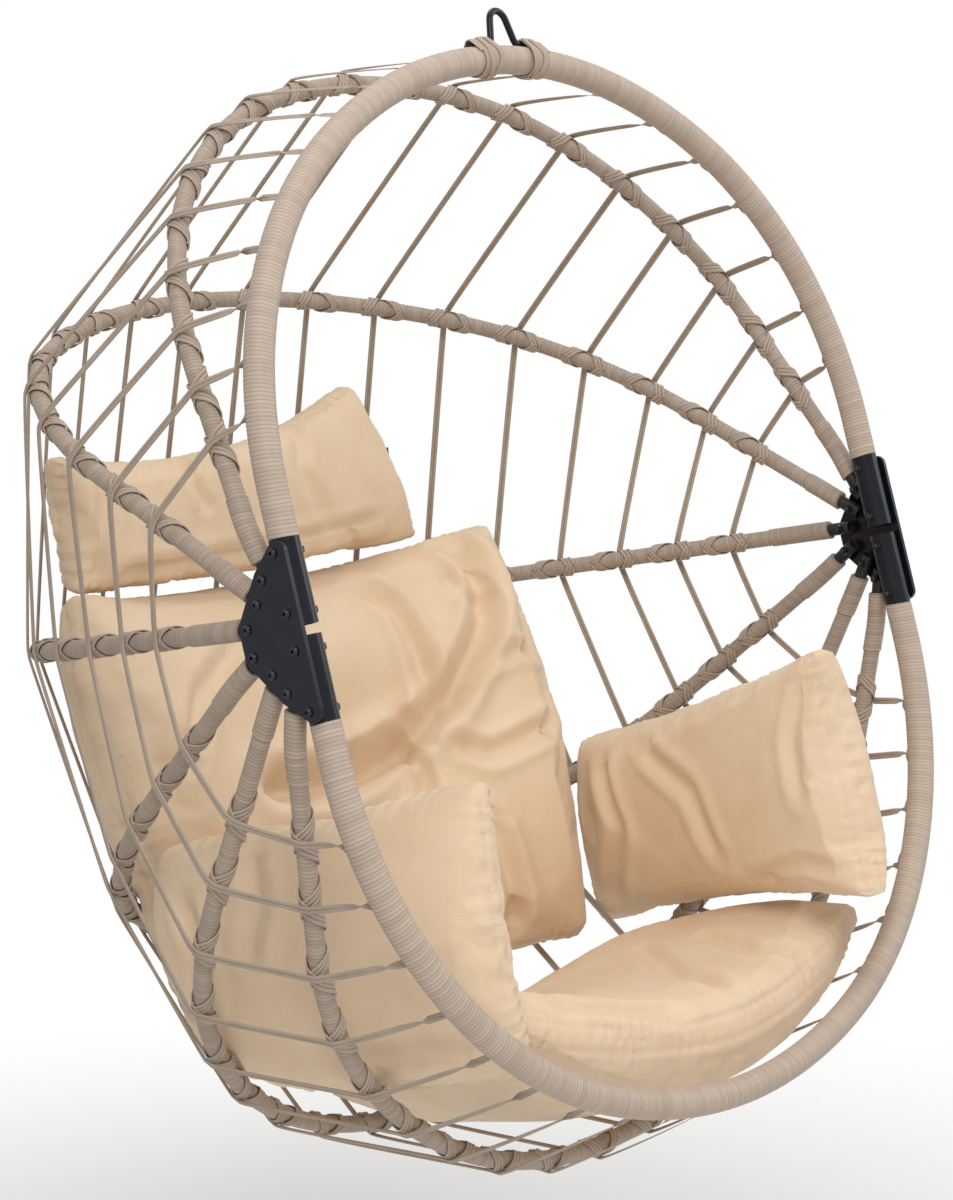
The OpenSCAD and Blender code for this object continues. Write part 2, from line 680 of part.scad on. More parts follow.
function cushion_point(u, v, face, size, cuts, taper, curl_r, tuft, push) =
    let (x = size[0] / 2 * u * cut_back(cuts[0], cuts[1], v) * (1 + taper * v),
         y = size[1] / 2 * v * cut_back(cuts[2], cuts[3], u),
         dip = tuft_dip(x, y, tuft) * sqrt(from_rim(u, v)))
    [x, y, x * x / (2 * curl_r) + face * (half_thick(u, v, size[2]) - dip)] + pushed(u, v, push);

module cushion(size, cuts, taper, curl_r, tuft, push) {
    n = cells + 1;
    below = n * n;
    points = [for (face = [1, -1], j = [0:cells], i = [0:cells])
        cushion_point(spaced(i), spaced(j), face, size, cuts, taper, curl_r, tuft, push)];
    rim = concat([for (i = [0:cells]) i], [for (j = [1:cells]) j * n + cells],
        [for (i = [1:cells]) cells * n + cells - i], [for (j = [1:cells - 1]) (cells - j) * n]);
    m = len(rim);
    top = [for (j = [0:cells - 1], i = [0:cells - 1]) let (p = j * n + i) [p, p + n, p + n + 1, p + 1]];
    bottom = [for (q = top) [for (i = [3:-1:0]) q[i] + below]];
    wall = [for (i = [0:m - 1]) let (p = rim[i], q = rim[(i + 1) % m]) [p, q, q + below, p + below]];
    quads = concat(top, bottom, wall);
    polyhedron(points, [for (q = quads, k = [0, 1]) k == 0 ? [q[0], q[1], q[2]] : [q[0], q[2], q[3]]]);
}

no_tuft = [0, 0, 0, 1];
flat = 100000;
seat_centre = [51.5, 262, -535.4];
back_cushion_centre = [-4.3, 578.6, -156.8];
head_centre = [-48, 553.3, 221.2];
right_arm_centre = [321.7, 206.8, -266];
left_arm_centre = [-323.4, 212.5, -297];
seat_push = [
    [[1, 1, -1], [-6, -7, 12], [-7, -9, 14]],
    [[7, 0, -1], [0, -1, 0], [-1, -2, -1]],
    [[3, 6, -2], [0, 8, -2], [2, 2, -8]]];
back_push = [
    [[30, 10, -65], [36, 31, -19], [-10, 13, -1]],
    [[9, 28, -48], [10, -5, 5], [-53, -24, -12]],
    [[-19, 28, -24], [4, -13, 13], [4, -18, 1]]];
head_push = [
    [[-4, -5, -3], [-19, -23, -14], [-22, -2, -20]],
    [[0, 14, -3], [-5, -6, -1], [3, -5, 6]],
    [[19, 37, 7], [-8, -14, 8], [10, -16, 16]]];
right_arm_push = [
    [[-3, -58, 35], [10, -29, -7], [24, -15, -52]],
    [[-31, -29, 39], [1, -17, -8], [38, -9, -53]],
    [[-78, 0, 23], [-17, -10, -24], [47, -13, -30]]];
left_arm_push = [
    [[54, -25, 3], [16, -28, 15], [1, -62, -3]],
    [[25, -2, -27], [23, -23, -9], [28, -23, -5]],
    [[34, -26, -28], [4, -55, 0], [-20, -13, 33]]];

module seat_cushion() {
    color(CLOTH) hung() translate(seat_centre) rotate([seat_tilt, 0, 0])
        cushion([seat_w, seat_depth, seat_t], [0, 0.06, 0, 0.18], -0.1, seat_curl_r, no_tuft, seat_push);
}

module back_cushion() {
    color(CLOTH) hung() translate(back_cushion_centre) rotate([90 - back_tilt, 0, 0])
        cushion([back_w, back_h, back_t], [0, 0.14, 0.13, 0.08], 0.08, back_curl_r,
            [tuft_x, tuft_y, tuft_depth, tuft_spread], back_push);
}

module head_pillow() {
    color(CLOTH) hung() translate(head_centre) rotate([90 + head_tilt, 0, 0]) rotate([0, 0, head_roll])
        cushion([head_w, head_h, head_t], [0.04, 0, 0.1, 0], -0.05, flat, no_tuft, head_push);
}

module right_arm_pillow() {
    color(CLOTH) hung() translate(right_arm_centre) rotate([0, 0, -90 - right_arm_yaw])
        rotate([90, 0, 0]) rotate([0, 0, right_arm_roll])
            cushion([arm_l, arm_h, arm_t], [0.05, 0, 0.07, 0], 0, flat, no_tuft, right_arm_push);
}

module left_arm_pillow() {
    color(CLOTH) hung() translate(left_arm_centre) rotate([0, 0, 90 + left_arm_yaw])
        rotate([90, 0, 0]) rotate([0, 0, left_arm_roll])
            cushion([arm_l, arm_h, arm_t], [0.05, 0, 0.07, 0], 0, flat, no_tuft, left_arm_push);
}

function two_digits(n) = str(n < 10 ? "0" : "", n);

upper_ring_tube();
lower_ring_tube();
upper_ring_wrap();
lower_ring_wrap();
for (i = [0:len(RIBS) - 1]) rib_tube(i);
for (i = [0:len(RIBS) - 1]) rib_wrap(i);
left_hub();
right_hub();
ring_bolts(-1);  // left_ring_bolts
ring_bolts(1);  // right_ring_bolts
ring_nuts(-1);  // left_ring_nuts
ring_nuts(1);  // right_ring_nuts
rib_bolts(-1);  // left_rib_bolts
rib_bolts(1);  // right_rib_bolts
rib_nuts(-1);  // left_rib_nuts
rib_nuts(1);  // right_rib_nuts
hanging_loop();
loop_foot_wraps();
for (n = [1:lace_count]) lacing(n);
seat_cushion();
back_cushion();
head_pillow();
left_arm_pillow();
right_arm_pillow();
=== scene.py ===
import bpy
import bmesh
import json
import math
import numpy as np
from mathutils import Matrix, Vector, noise
from mathutils.bvhtree import BVHTree
from mathutils.kdtree import KDTree

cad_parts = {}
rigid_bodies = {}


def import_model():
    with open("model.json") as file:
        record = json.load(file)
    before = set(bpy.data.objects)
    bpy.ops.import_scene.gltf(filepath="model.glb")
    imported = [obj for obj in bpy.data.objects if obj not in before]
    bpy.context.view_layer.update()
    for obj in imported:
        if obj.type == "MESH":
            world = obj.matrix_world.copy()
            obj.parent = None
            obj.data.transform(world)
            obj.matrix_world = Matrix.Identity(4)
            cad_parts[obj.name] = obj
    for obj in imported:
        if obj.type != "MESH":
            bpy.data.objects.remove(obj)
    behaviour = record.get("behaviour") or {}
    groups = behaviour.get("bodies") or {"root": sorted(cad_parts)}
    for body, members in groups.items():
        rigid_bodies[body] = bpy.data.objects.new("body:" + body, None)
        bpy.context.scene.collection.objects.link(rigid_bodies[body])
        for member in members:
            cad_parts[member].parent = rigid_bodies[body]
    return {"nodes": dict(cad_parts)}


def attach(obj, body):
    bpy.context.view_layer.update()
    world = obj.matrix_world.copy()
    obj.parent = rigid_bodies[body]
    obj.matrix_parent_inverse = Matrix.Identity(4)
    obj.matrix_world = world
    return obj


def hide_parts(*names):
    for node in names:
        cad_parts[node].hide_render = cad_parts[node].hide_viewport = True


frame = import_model()
bpy.context.scene.view_settings.view_transform = "Standard"
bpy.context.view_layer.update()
print("frame loaded,", len(frame["nodes"]), "nodes")
mm = 0.001

# shader wiring


class Wire:  # one shader socket that can be used in sums
    def __init__(self, paint, socket):
        self.paint, self.socket = paint, socket

    def __add__(self, other): return self.paint.sums("ADD", self, other)
    def __radd__(self, other): return self.paint.sums("ADD", other, self)
    def __sub__(self, other): return self.paint.sums("SUBTRACT", self, other)
    def __rsub__(self, other): return self.paint.sums("SUBTRACT", other, self)
    def __mul__(self, other): return self.paint.sums("MULTIPLY", self, other)
    def __rmul__(self, other): return self.paint.sums("MULTIPLY", other, self)
    def __truediv__(self, other): return self.paint.sums("DIVIDE", self, other)
    def __pow__(self, other): return self.paint.sums("POWER", self, other)


class Paint:  # a material and the one way its nodes are made
    def __init__(self, name):
        self.material = bpy.data.materials.new(name)
        self.material.use_nodes = True
        self.tree = self.material.node_tree
        self.tree.nodes.clear()
        self.output = self.tree.nodes.new("ShaderNodeOutputMaterial")

    def node(self, kind, settings=None, out=0, **sockets):
        made = self.tree.nodes.new(kind)
        for key, value in (settings or {}).items():
            if key == "stops":
                ramp = made.color_ramp
                while len(ramp.elements) < len(value):
                    ramp.elements.new(0.5)
                for stop, (place, colour) in zip(ramp.elements, value):
                    stop.position, stop.color = place, (*colour, 1)
            else:
                setattr(made, key, value)
        for key, value in sockets.items():
            numbered = key[0] == "n" and key[1:].isdigit()
            socket = made.inputs[int(key[1:]) if numbered else key.replace("_", " ")]
            if isinstance(value, Wire):
                self.tree.links.new(value.socket, socket)
            else:
                socket.default_value = value
        return Wire(self, made.outputs[out])

    def sums(self, operation, a, b):
        return self.node("ShaderNodeMath", {"operation": operation}, n0=a, n1=b)

    def place(self):
        return self.node("ShaderNodeTexCoord", out="Object")

    def attribute(self, name):
        return self.node("ShaderNodeAttribute", {"attribute_name": name}, out="Fac")

    def noise(self, where, scale, detail=3.0, rough=0.5):
        return self.node("ShaderNodeTexNoise", Vector=where, Scale=scale, Detail=detail, Roughness=rough)

    def between(self, low, high, value):
        return self.node("ShaderNodeMapRange", n0=value, n1=low, n2=high)

    def blend(self, share, a, b):
        return self.node("ShaderNodeMix", {"data_type": "RGBA"}, out=2, n0=share, n6=a, n7=b)

    def finish(self, colour, rough, bump=None, height=0.001, **fixed):
        shader = self.tree.nodes.new("ShaderNodeBsdfPrincipled")
        for key, value in fixed.items():
            shader.inputs[key.replace("_", " ")].default_value = value
        for name, value in (("Base Color", colour), ("Roughness", rough)):
            if isinstance(value, Wire):
                self.tree.links.new(value.socket, shader.inputs[name])
            else:
                shader.inputs[name].default_value = value
        if bump is not None:
            raised = self.node("ShaderNodeBump", Height=bump, Distance=height, Strength=1.0)
            self.tree.links.new(raised.socket, shader.inputs["Normal"])
        self.tree.links.new(shader.outputs[0], self.output.inputs[0])
        return self.material


rattanLook = {"cloud": 38.0, "grainAlong": 900.0, "grainAround": 6.0, "ridges": 4300.0, "height": 0.00012}


def paintRattan(name, light, dark, groove):
    p = Paint(name)
    turn = p.attribute("turnTone")       # one random tone for each turn of the cord
    valley = p.attribute("valley")       # 1 in the groove between two turns, where the colour is darkened as painted shade
    along = p.attribute("along")         # metres along the tube
    cloudy = p.noise(p.place(), rattanLook["cloud"], 4.0)
    strand = p.node("ShaderNodeCombineXYZ", n0=along * rattanLook["grainAlong"],
                    n1=p.attribute("around") * rattanLook["grainAround"])
    grain = p.noise(strand, 1.0, 2.0)
    tone = turn * 0.55 + cloudy * 0.45 + grain * 0.25 - 0.1
    body = p.blend(p.between(0.2, 0.9, tone), dark, light)
    # painted shade: the groove colour darkens the valleys between turns, on top of the tube's real grooves
    colour = p.blend(valley ** 1.6 * 0.5, body, groove)
    ridges = p.node("ShaderNodeMath", {"operation": "SINE"}, n0=along * rattanLook["ridges"])
    return p.finish(colour, 0.42 + cloudy * 0.22, ridges * 0.5 + grain, rattanLook["height"],
                    Specular_IOR_Level=0.42)


cordLook = {"cloud": 30.0, "grainAlong": 60.0, "grainAround": 30.0, "height": 0.00015}


def paintCord(name, light, dark):
    p = Paint(name)
    along = p.attribute("along")
    cloudy = p.noise(p.place(), cordLook["cloud"], 4.0)
    strand = p.node("ShaderNodeCombineXYZ", n0=along * cordLook["grainAlong"],
                    n1=p.attribute("around") * cordLook["grainAround"])
    grain = p.noise(strand, 1.0, 3.0)
    colour = p.blend(p.between(0.25, 0.8, cloudy * 0.6 + grain * 0.4), dark, light)
    return p.finish(colour, 0.45 + grain * 0.2, grain, cordLook["height"], Specular_IOR_Level=0.4)


def paintCoat(name, colour, flecks, rough, shine):
    p = Paint(name)
    fine = p.noise(p.place(), 900.0, 2.0)
    soft = p.noise(p.place(), 45.0, 3.0)
    body = p.blend(p.between(0.4, 0.75, soft), colour, flecks)
    return p.finish(body, rough + soft * 0.12, fine, 0.00004, Specular_IOR_Level=shine)


clothLook = {"cloud": 9.0, "crease": 42.0, "threads": 5200.0, "height": 0.0009}


def paintCloth(name, light, dark):
    p = Paint(name)
    where = p.place()
    cloudy = p.noise(where, clothLook["cloud"], 5.0, 0.6)
    creased = p.noise(where, clothLook["crease"], 4.0, 0.6)
    split = p.node("ShaderNodeSeparateXYZ", n0=where)
    x = split
    y = Wire(p, split.socket.node.outputs[1])
    z = Wire(p, split.socket.node.outputs[2])
    warp = p.node("ShaderNodeMath", {"operation": "SINE"}, n0=(x + y) * clothLook["threads"])
    weft = p.node("ShaderNodeMath", {"operation": "SINE"}, n0=(z + y * 0.4) * clothLook["threads"])
    # painted shade and highlight: the same noises raise the bump, so the dark colour lies in its hollows and the light
    # one on its crowns
    colour = p.blend(p.between(0.3, 0.75, cloudy * 0.75 + creased * 0.25), dark, light)
    return p.finish(colour, 0.72 + creased * 0.14, (warp + weft) * 0.06 + creased * 0.8 + cloudy,
                    clothLook["height"], Specular_IOR_Level=0.3, Sheen_Weight=0.25, Sheen_Roughness=0.45)


# the last colour of each rattan is painted shade for the grooves between turns
rattanPaint = paintRattan("woundRattan", (0.56, 0.45, 0.365, 1), (0.455, 0.36, 0.285, 1), (0.22, 0.165, 0.125, 1))
# painted shade: the ribs and their bands are darker copies of the ring's rattan, coloured like the ribs' shaded side
ribPaint = paintRattan("ribRattan", (0.47, 0.375, 0.30, 1), (0.35, 0.275, 0.215, 1), (0.16, 0.12, 0.09, 1))
bandPaint = paintRattan("bandRattan", (0.50, 0.40, 0.32, 1), (0.36, 0.285, 0.225, 1), (0.13, 0.095, 0.07, 1))
cordPaint = paintCord("lacingCord", (0.48, 0.39, 0.31, 1), (0.33, 0.265, 0.205, 1))
# the cloth's light and dark colours are its highlight and its shade, painted
clothPaint = paintCloth("cushionCloth", (0.84, 0.665, 0.475, 1), (0.75, 0.55, 0.36, 1))
tabPaint = paintCoat("tabCloth", (0.012, 0.012, 0.014, 1), (0.022, 0.021, 0.022, 1), 0.7, 0.2)
hubPaint = paintCoat("hubCoat", (0.004, 0.006, 0.010, 1), (0.008, 0.010, 0.016, 1), 0.14, 0.22)
boltPaint = paintCoat("boltBlack", (0.008, 0.009, 0.011, 1), (0.02, 0.021, 0.024, 1), 0.2, 0.3)
tubePaint = paintCoat("tubeBlack", (0.012, 0.012, 0.014, 1), (0.02, 0.02, 0.022, 1), 0.35, 0.3)
print("materials made")

# the basket's lines, as its tubes run

basket = {
    "lean": 17.3, "eye": 655.185, "ringHalf": 515.0, "sleeveEnd": 95.0, "ribHalf": 522.0,
    "ribLeg": 45.0, "ribHeel": 150.0, "ribBare": 19.0,
    "cords": 19, "ringShare": 0.75, "ribShare": 0.83, "closing": 0.08, "laceShift": 40.0, "shiftedHoops": 3,
    "ribs": [  # heel turn, side, corner radius, corner turn, bolt y, bolt z, angle
        (10, 170, 445, 62, 24, 58, 72), (2, 218, 375, 58, 39, 36, 40.5), (15, 300, 490, 54, 60, 14.4, 6),
        (9, 201, 507, 47, 60, -14.4, -25), (2, 227, 374, 37, 39, -36, -49.5), (10, 203, 346, 34, 24, -58, -70)],
}


class Hoop:  # one tube from hub to hub: legs, heels, sides, corners and one arc for a back
    def __init__(self, half, leg, heelR, heelTurn, side, cornerR, cornerTurn, boltY, boltZ, angle):
        self.half, self.leg, self.heelR, self.side, self.cornerR = half, leg, heelR, side, cornerR
        self.heelTurn, self.cornerTurn = math.radians(heelTurn), math.radians(cornerTurn)
        self.boltY, self.boltZ, self.angle = boltY, boltZ, math.radians(angle)
        t, b = self.heelTurn, self.heelTurn + self.cornerTurn
        self.backFrom = b
        self.heelC = np.array([half - heelR, leg])
        self.heelEnd = self.heelC + heelR * np.array([math.cos(t), math.sin(t)])
        self.sideEnd = self.heelEnd + side * np.array([-math.sin(t), math.cos(t)])
        self.cornerC = self.sideEnd - cornerR * np.array([math.cos(t), math.sin(t)])
        edge = self.cornerC + cornerR * np.array([math.cos(b), math.sin(b)])
        self.backR = edge[0] / math.cos(b)
        self.backC = np.array([0, edge[1] - self.backR * math.sin(b)])
        self.lengths = np.cumsum([self.backR * (math.pi / 2 - b), cornerR * self.cornerTurn, side,
                                  heelR * self.heelTurn, leg])
        self.halfLength = self.lengths[-1]

    def flat(self, s):  # x, u and the angle of the outward normal, s along from the middle
        d, l = abs(s), self.lengths
        t = self.heelTurn
        if d <= l[0]:
            c, r, a = self.backC, self.backR, math.pi / 2 - d / self.backR
        elif d <= l[1]:
            c, r, a = self.cornerC, self.cornerR, self.backFrom - (d - l[0]) / self.cornerR
        elif d <= l[2]:
            c, r, a = self.sideEnd - (d - l[1]) * np.array([-math.sin(t), math.cos(t)]), 0, t
        elif d <= l[3]:
            c, r, a = self.heelC, self.heelR, t - (d - l[2]) / self.heelR
        else:
            c, r, a = np.array([self.half, self.leg - (d - l[3])]), 0, 0.0
        x, u = c[0] + r * math.cos(a), c[1] + r * math.sin(a)
        return (x, u, a) if s >= 0 else (-x, u, math.pi - a)

    def basketPoint(self, x, u):
        return np.array([x, self.boltY + u * math.cos(self.angle), self.boltZ + u * math.sin(self.angle)])

    def at(self, s):  # point, outward normal and tangent in the hanging frame, metres
        x, u, a = self.flat(s)
        point = self.basketPoint(x, u)
        outward = np.array([math.cos(a), math.sin(a) * math.cos(self.angle), math.sin(a) * math.sin(self.angle)])
        forward = np.array([math.sin(a), -math.cos(a) * math.cos(self.angle), -math.cos(a) * math.sin(self.angle)])
        return hang(point), turnDown(outward), turnDown(forward)

    def run(self, start, end, step):
        count = max(2, int(round(abs(end - start) / step)) + 1)
        return [self.at(s) for s in np.linspace(start, end, count)]


leanCos, leanSin = math.cos(math.radians(basket["lean"])), math.sin(math.radians(basket["lean"]))


def turnDown(v):  # from the ring's own upright to the way the basket hangs
    v = np.asarray(v, float)
    return np.array([v[0], leanCos * v[1] + leanSin * v[2], -leanSin * v[1] + leanCos * v[2]])


def hang(p):
    return turnDown(np.asarray(p, float) - [0, 0, basket["eye"]]) * mm


half = basket["ringHalf"]
upperRing = Hoop(half, 142, 1, 0, 0, 434, 55, 0, 0, 90)
lowerRing = Hoop(half, 128, 1, 0, 0, 452, 69.5, 0, 0, -90)
ribs = [Hoop(basket["ribHalf"], basket["ribLeg"], basket["ribHeel"], *r) for r in basket["ribs"]]
hoops = [upperRing, *ribs, lowerRing]


def laceAt(i, k):  # how far from the middle of hoop i cord k crosses it
    t = k / ((basket["cords"] - 1) / 2)
    share = basket["ringShare"] if i in (0, len(hoops) - 1) else basket["ribShare"]
    pulled = basket["laceShift"] * (1 - t * t) if i < basket["shiftedHoops"] else 0
    return share * hoops[i].halfLength * ((1 + basket["closing"]) * t - basket["closing"] * t ** 3) - pulled


# Geometry Nodes


class Growth:  # a Geometry Nodes tree with named inputs, run over the edges of a mesh
    def __init__(self, name, inputs):
        self.tree = bpy.data.node_groups.new(name, "GeometryNodeTree")
        face = self.tree.interface
        face.new_socket("Geometry", in_out="INPUT", socket_type="NodeSocketGeometry")
        self.ids = {}
        for key, (kind, value) in inputs.items():
            made = face.new_socket(key, in_out="INPUT", socket_type="NodeSocket" + kind)
            if value is not None:
                made.default_value = value
            self.ids[key] = made.identifier
        face.new_socket("Geometry", in_out="OUTPUT", socket_type="NodeSocketGeometry")
        self.entry = self.tree.nodes.new("NodeGroupInput")
        self.exit = self.tree.nodes.new("NodeGroupOutput")

    def add(self, kind, settings=None, **sockets):
        made = self.tree.nodes.new(kind)
        for key, value in (settings or {}).items():
            setattr(made, key, value)
        for key, value in sockets.items():
            numbered = key[0] == "n" and key[1:].isdigit()
            socket = made.inputs[int(key[1:]) if numbered else key.replace("_", " ")]
            if isinstance(value, bpy.types.NodeSocket):
                self.tree.links.new(value, socket)
            else:
                socket.default_value = value
        return made

    def sums(self, operation, a, b=0.0, c=0.0):
        return self.add("ShaderNodeMath", {"operation": operation}, n0=a, n1=b, n2=c).outputs[0]

    def close(self, geometry):
        made = self.add("GeometryNodeRealizeInstances", Geometry=geometry)
        coat = self.add("GeometryNodeSetMaterial", Geometry=made.outputs[0], Material=self.entry.outputs["Material"])
        self.tree.links.new(coat.outputs[0], self.exit.inputs[0])


def windingTree():
    g = Growth("windingAlongTube", {
        "Radius": ("Float", 0.0165), "Turn Pitch": ("Float", 0.0042), "Groove": ("Float", 0.0004),
        "Unevenness": ("Float", 0.0002), "Slant": ("Float", 0.001), "Sides": ("Int", 20), "Seed": ("Int", 3),
        "Material": ("Material", None)})
    i = g.entry.outputs
    step = g.sums("DIVIDE", i["Turn Pitch"], 3.0)
    line = g.add("GeometryNodeResampleCurve", {"mode": "LENGTH"}, 
                 Curve=g.add("GeometryNodeMeshToCurve", Mesh=i["Geometry"]).outputs[0], Length=step).outputs[0]
    index = g.add("GeometryNodeInputIndex").outputs[0]
    turn = g.sums("FLOOR", g.sums("DIVIDE", index, 3.0))
    inTurn = g.sums("SUBTRACT", index, g.sums("MULTIPLY", turn, 3.0))
    valley = g.sums("COMPARE", inTurn, 0.0, 0.4)
    tone = g.add("FunctionNodeRandomValue", {"data_type": "FLOAT"}, ID=turn, Seed=i["Seed"]).outputs[1]
    reach = g.add("GeometryNodeSplineParameter").outputs["Length"]
    # valley also deepens the groove in the mesh and, in the rattan paint, lays painted shade in it
    for name, value in (("valley", valley), ("turnTone", tone), ("along", reach)):
        line = g.add("GeometryNodeStoreNamedAttribute", {"data_type": "FLOAT", "domain": "POINT"},
                     Geometry=line, Name=name, Value=value).outputs[0]
    deep = g.sums("MULTIPLY", valley, g.sums("MULTIPLY", i["Groove"], g.sums("MULTIPLY_ADD", tone, 1.2, 0.5)))
    loose = g.sums("MULTIPLY", g.sums("SUBTRACT", tone, 0.5), i["Unevenness"])
    radius = g.sums("ADD", g.sums("SUBTRACT", i["Radius"], deep), loose)
    circle = g.add("GeometryNodeCurvePrimitiveCircle", Resolution=i["Sides"], Radius=1.0).outputs[0]
    share = g.add("GeometryNodeSplineParameter").outputs["Factor"]
    circle = g.add("GeometryNodeStoreNamedAttribute", {"data_type": "FLOAT", "domain": "POINT"},
                   Geometry=circle, Name="around", Value=share).outputs[0]
    heading = g.add("GeometryNodeInputTangent").outputs[0]
    line = g.add("GeometryNodeStoreNamedAttribute", {"data_type": "FLOAT_VECTOR", "domain": "POINT"},
                 Geometry=line, Name="heading", Value=heading).outputs[0]
    tube = g.add("GeometryNodeCurveToMesh", Curve=line, Profile_Curve=circle, Scale=radius, Fill_Caps=True).outputs[0]
    around = g.add("GeometryNodeInputNamedAttribute", {"data_type": "FLOAT"}, Name="around").outputs[0]
    lean = g.sums("MULTIPLY", g.sums("SINE", g.sums("MULTIPLY", around, 2 * math.pi)), i["Slant"])
    head = g.add("GeometryNodeInputNamedAttribute", {"data_type": "FLOAT_VECTOR"}, Name="heading").outputs[0]
    shift = g.add("ShaderNodeVectorMath", {"operation": "SCALE"}, n0=head, Scale=lean).outputs[0]
    tube = g.add("GeometryNodeSetPosition", Geometry=tube, Offset=shift).outputs[0]
    g.close(tube)
    return g


def stripTree():
    g = Growth("strandAlongLine", {
        "Width": ("Float", 0.0035), "Thickness": ("Float", 0.0035), "Strands": ("Int", 2), "Overlap": ("Float", 0.9),
        "Sides": ("Int", 8), "Material": ("Material", None)})
    i = g.entry.outputs
    line = g.add("GeometryNodeMeshToCurve", Mesh=i["Geometry"]).outputs[0]
    reach = g.add("GeometryNodeSplineParameter").outputs["Length"]
    line = g.add("GeometryNodeStoreNamedAttribute", {"data_type": "FLOAT", "domain": "POINT"},
                 Geometry=line, Name="along", Value=reach).outputs[0]
    line = g.add("GeometryNodeStoreNamedAttribute", {"data_type": "FLOAT", "domain": "POINT"},
                 Geometry=line, Name="turnTone", Value=0.5).outputs[0]
    normal = g.add("GeometryNodeInputNamedAttribute", {"data_type": "FLOAT_VECTOR"}, Name="faceOut").outputs[0]
    line = g.add("GeometryNodeSetCurveNormal", {"mode": "FREE"}, Curve=line, Normal=normal).outputs[0]
    gap = g.sums("MULTIPLY", i["Width"], i["Overlap"])
    first = g.sums("MULTIPLY", g.sums("SUBTRACT", i["Strands"], 1.0), g.sums("MULTIPLY", gap, -0.5))
    spots = g.add("GeometryNodeMeshLine", {"mode": "OFFSET"}, Count=i["Strands"],
                  Start_Location=g.add("ShaderNodeCombineXYZ", n1=first).outputs[0],
                  Offset=g.add("ShaderNodeCombineXYZ", n1=gap).outputs[0]).outputs[0]
    circle = g.add("GeometryNodeCurvePrimitiveCircle", Resolution=i["Sides"], Radius=0.5).outputs[0]
    share = g.add("GeometryNodeSplineParameter").outputs["Factor"]
    circle = g.add("GeometryNodeStoreNamedAttribute", {"data_type": "FLOAT", "domain": "POINT"},
                   Geometry=circle, Name="around", Value=share).outputs[0]
    size = g.add("ShaderNodeCombineXYZ", n0=i["Thickness"], n1=i["Width"], n2=1.0).outputs[0]
    strands = g.add("GeometryNodeInstanceOnPoints", Points=spots, Instance=circle, Scale=size).outputs[0]
    strands = g.add("GeometryNodeRealizeInstances", Geometry=strands).outputs[0]
    tube = g.add("GeometryNodeCurveToMesh", Curve=line, Profile_Curve=strands, Scale=1.0, Fill_Caps=True).outputs[0]
    g.close(tube)
    return g


winding, strip = windingTree(), stripTree()


def grow(name, growth, runs, values):  # runs a tree over the lines and keeps the plain mesh
    lines = bpy.data.meshes.new(name + "Lines")
    points = np.array([row[0] for run in runs for row in run])
    faces = np.array([row[1] for run in runs for row in run])
    edges, start = [], 0
    for run in runs:
        edges += [(start + j, start + j + 1) for j in range(len(run) - 1)]
        start += len(run)
    lines.from_pydata(points.tolist(), edges, [])
    face = lines.attributes.new("faceOut", "FLOAT_VECTOR", "POINT")
    face.data.foreach_set("vector", faces.ravel())
    holder = bpy.data.objects.new(name + "Holder", lines)
    bpy.context.scene.collection.objects.link(holder)
    modifier = holder.modifiers.new("grow", "NODES")
    modifier.node_group = growth.tree
    for key, value in values.items():
        modifier[growth.ids[key]] = value
    plain = bpy.data.meshes.new_from_object(holder.evaluated_get(bpy.context.evaluated_depsgraph_get()))
    bpy.data.objects.remove(holder)
    piece = bpy.data.objects.new(name, plain)
    bpy.context.scene.collection.objects.link(piece)
    return piece


def smooth(piece):
    piece.data.polygons.foreach_set("use_smooth", np.ones(len(piece.data.polygons), bool))
    piece.data.update()


def settle(piece, body, slot, *nodes):
    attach(piece, body)
    if nodes:
        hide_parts(*nodes)
    return piece


# wound ring and ribs

ringWinding = {"radius": 0.01638, "pitch": 0.0042, "groove": 0.00036, "unevenness": 0.0002,
               "slant": 0.0012, "sides": 22}
ribWinding = {"radius": 0.01028, "pitch": 0.0041, "groove": 0.00034, "unevenness": 0.0002,
              "slant": 0.0014, "sides": 16, "rewrap": 0.0013, "rewrapPast": 22.0}
windingStep = 2.0  # mm between the points of a wound line


def wound(name, runs, look, paint, seed):
    piece = grow(name, winding, runs, {
        "Radius": look["radius"], "Turn Pitch": look["pitch"], "Groove": look["groove"],
        "Unevenness": look["unevenness"], "Slant": look["slant"], "Sides": look["sides"], "Seed": seed,
        "Material": paint})
    smooth(piece)
    return piece


for name, hoop, seed in (("upperRing", upperRing, 4), ("lowerRing", lowerRing, 9)):
    reach = hoop.halfLength - basket["sleeveEnd"]
    settle(wound(name + "Winding", [hoop.run(-reach, reach, windingStep)], ringWinding, rattanPaint, seed),
           "basket", "wound_rattan", name.replace("Ring", "_ring_wrap"))
for number, hoop in enumerate(ribs, 1):
    reach = hoop.halfLength - basket["ribBare"]
    over = hoop.halfLength - basket["ribLeg"] - hoop.heelR * hoop.heelTurn - ribWinding["rewrapPast"]
    body = wound(f"rib{number}Winding", [hoop.run(-reach, reach, windingStep)], ribWinding, ribPaint, number)
    thick = dict(ribWinding, radius=ribWinding["radius"] + ribWinding["rewrap"])
    stretches = [hoop.run(over, reach - 1, windingStep), hoop.run(1 - reach, -over, windingStep)]
    ends = wound(f"rib{number}Rewrap", stretches, thick, ribPaint, number + 20)
    settle(body, "basket", "wound_rattan", f"rib_{number}_wrap")
    settle(ends, "basket", "wound_rattan")
print("windings made")

# lacing cords and their bands

